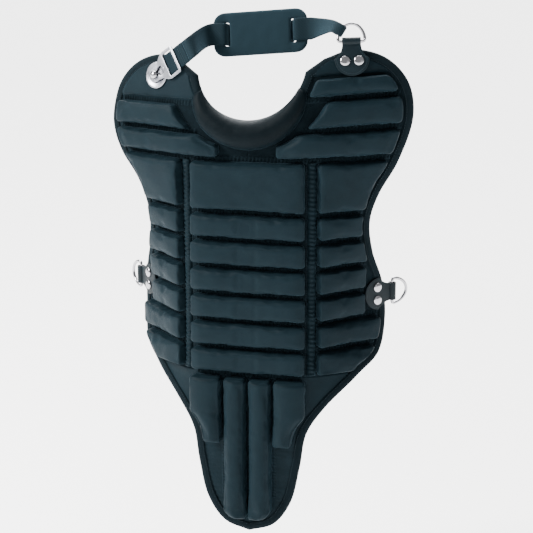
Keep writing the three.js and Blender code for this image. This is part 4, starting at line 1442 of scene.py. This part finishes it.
def add_neck_pad():
    """The pad with its two slots: a plate, remeshed so that its faces can be crowned and pressed in."""
    half_x, half_y = NECK_PAD_HALF
    c = NECK_PAD_CORNER
    shape = arc((half_x - c, -half_y + c), c, -90, 0) + arc((half_x - c, half_y - c), c, 0, 90)
    shape += arc((-half_x + c, half_y - c), c, 90, 180) + arc((-half_x + c, -half_y + c), c, 180, 270)
    slots = []
    for sign in (-1, 1):
        x, (w, h) = sign * NECK_SLOT_REACH, NECK_SLOT_HALF
        slots.append(rounded_loop([(x - w, -h), (x + w, -h), (x + w, h), (x - w, h)], 2.0))
    thickness = NECK_PAD_THICKNESS
    centred = Matrix.Translation((0, 0, -thickness / 2))
    plain = plate("neck_pad_core", [shape, *slots], thickness, 3.4, centred, "cover")
    remesh = plain.modifiers.new("remesh", "REMESH")
    remesh.mode = "VOXEL"
    remesh.voxel_size = 1.5
    places, faces = taken_out(plain)
    x, y, z = places.T
    near_slot = np.minimum(np.abs(x - NECK_SLOT_REACH), np.abs(x + NECK_SLOT_REACH))
    pressed = 1 - 0.22 * np.exp(-(near_slot / 9.0) ** 2)
    crown = 1 + 0.22 * (1 - (x / half_x) ** 2) * (1 - (y / half_y) ** 2) - 0.1
    places[:, 2] = z * pressed * crown + np.sign(z) * wrinkled(places, 0.45, 22.0, 31)
    cover = add_piece("neck_pad_cover", in_frame(neck_pad_frame(), places), faces, "cover")
    with edited(cover) as work:
        for _ in range(3):
            bmesh.ops.smooth_vert(work, verts=work.verts, factor=0.5,
                                  use_axis_x=True, use_axis_y=True, use_axis_z=True)
    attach(cover, "neck_strap")
    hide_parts("neck_pad")


def add_fittings():
    for name, side in SIDES:
        matrix = fitting((side * WAIST_RING[0], WAIST_RING[1]), TAB_REST, side * -90)
        ring_set(f"waist_ring_{name}", f"waist_tab_{name}", f"waist_rivet_{name}", matrix, f"ring_{name}",
                 f"wing_{name}")
    ring = shoulder_ring_frame()
    ring_set("shoulder_ring", "shoulder_tab", "shoulder_rivet", ring, "neck_strap", "vest")
    add_stud_and_hook()
    add_neck_strap(ring)
    add_neck_pad()


add_fittings()

# ---------------------------------------------------------------- the stage

KEY_POWER = 330
FILL_POWER = 6
SUN_POWER = 15.0
SKY_STRENGTH = 0.6
FLOOR_DROP = 0.16  # from the protector's lowest place down to the floor
FLOOR_HALF = 30


def add_light(name, place, size, power, colour):
    data = bpy.data.lights.new(name, "AREA")
    data.shape = "RECTANGLE"
    data.size, data.size_y = size
    data.energy = power
    data.color = colour
    light = linked(name, data)
    light.location = place
    light.rotation_euler = (-Vector(place)).to_track_quat("-Z", "Y").to_euler()


def add_stage():
    floor_z = cad_bounds[0][2] - FLOOR_DROP
    corners = [(x * FLOOR_HALF, y * FLOOR_HALF, floor_z) for x, y in ((-1, -1), (1, -1), (1, 1), (-1, 1))]
    mesh = bpy.data.meshes.new("floor")
    mesh.from_pydata(corners, [], [(0, 1, 2, 3)])
    floor = bpy.data.objects.new("floor", mesh)
    bpy.context.scene.collection.objects.link(floor)
    s = Shader("pale_floor")
    tone = s.noise(s.own(), 1.5, 2.0)
    pale = s.mix(tone, (0.93, 0.93, 0.93, 1), (0.96, 0.96, 0.96, 1))
    mesh.materials.append(s.set(Base_Color=pale, Roughness=0.9))
    world = bpy.data.worlds.new("studio")
    world.use_nodes = True
    sky = world.node_tree.nodes["Background"].inputs
    sky["Color"].default_value = (1, 1, 1, 1)
    sky["Strength"].default_value = SKY_STRENGTH
    bpy.context.scene.world = world
    add_light("key", (-2.4, -1.3, 1.9), (1.0, 1.2), KEY_POWER, (1.0, 0.99, 0.97))
    add_light("fill", (2.2, -2.4, 0.6), (1.5, 1.8), FILL_POWER, (0.94, 0.97, 1.0))
    sun = bpy.data.lights.new("back_sun", "SUN")
    sun.energy = SUN_POWER
    sun.angle = math.radians(60)
    lamp = linked("back_sun", sun)
    lamp.rotation_euler = Vector((0.25, -0.75, -1.0)).to_track_quat("-Z", "Y").to_euler()


add_stage()
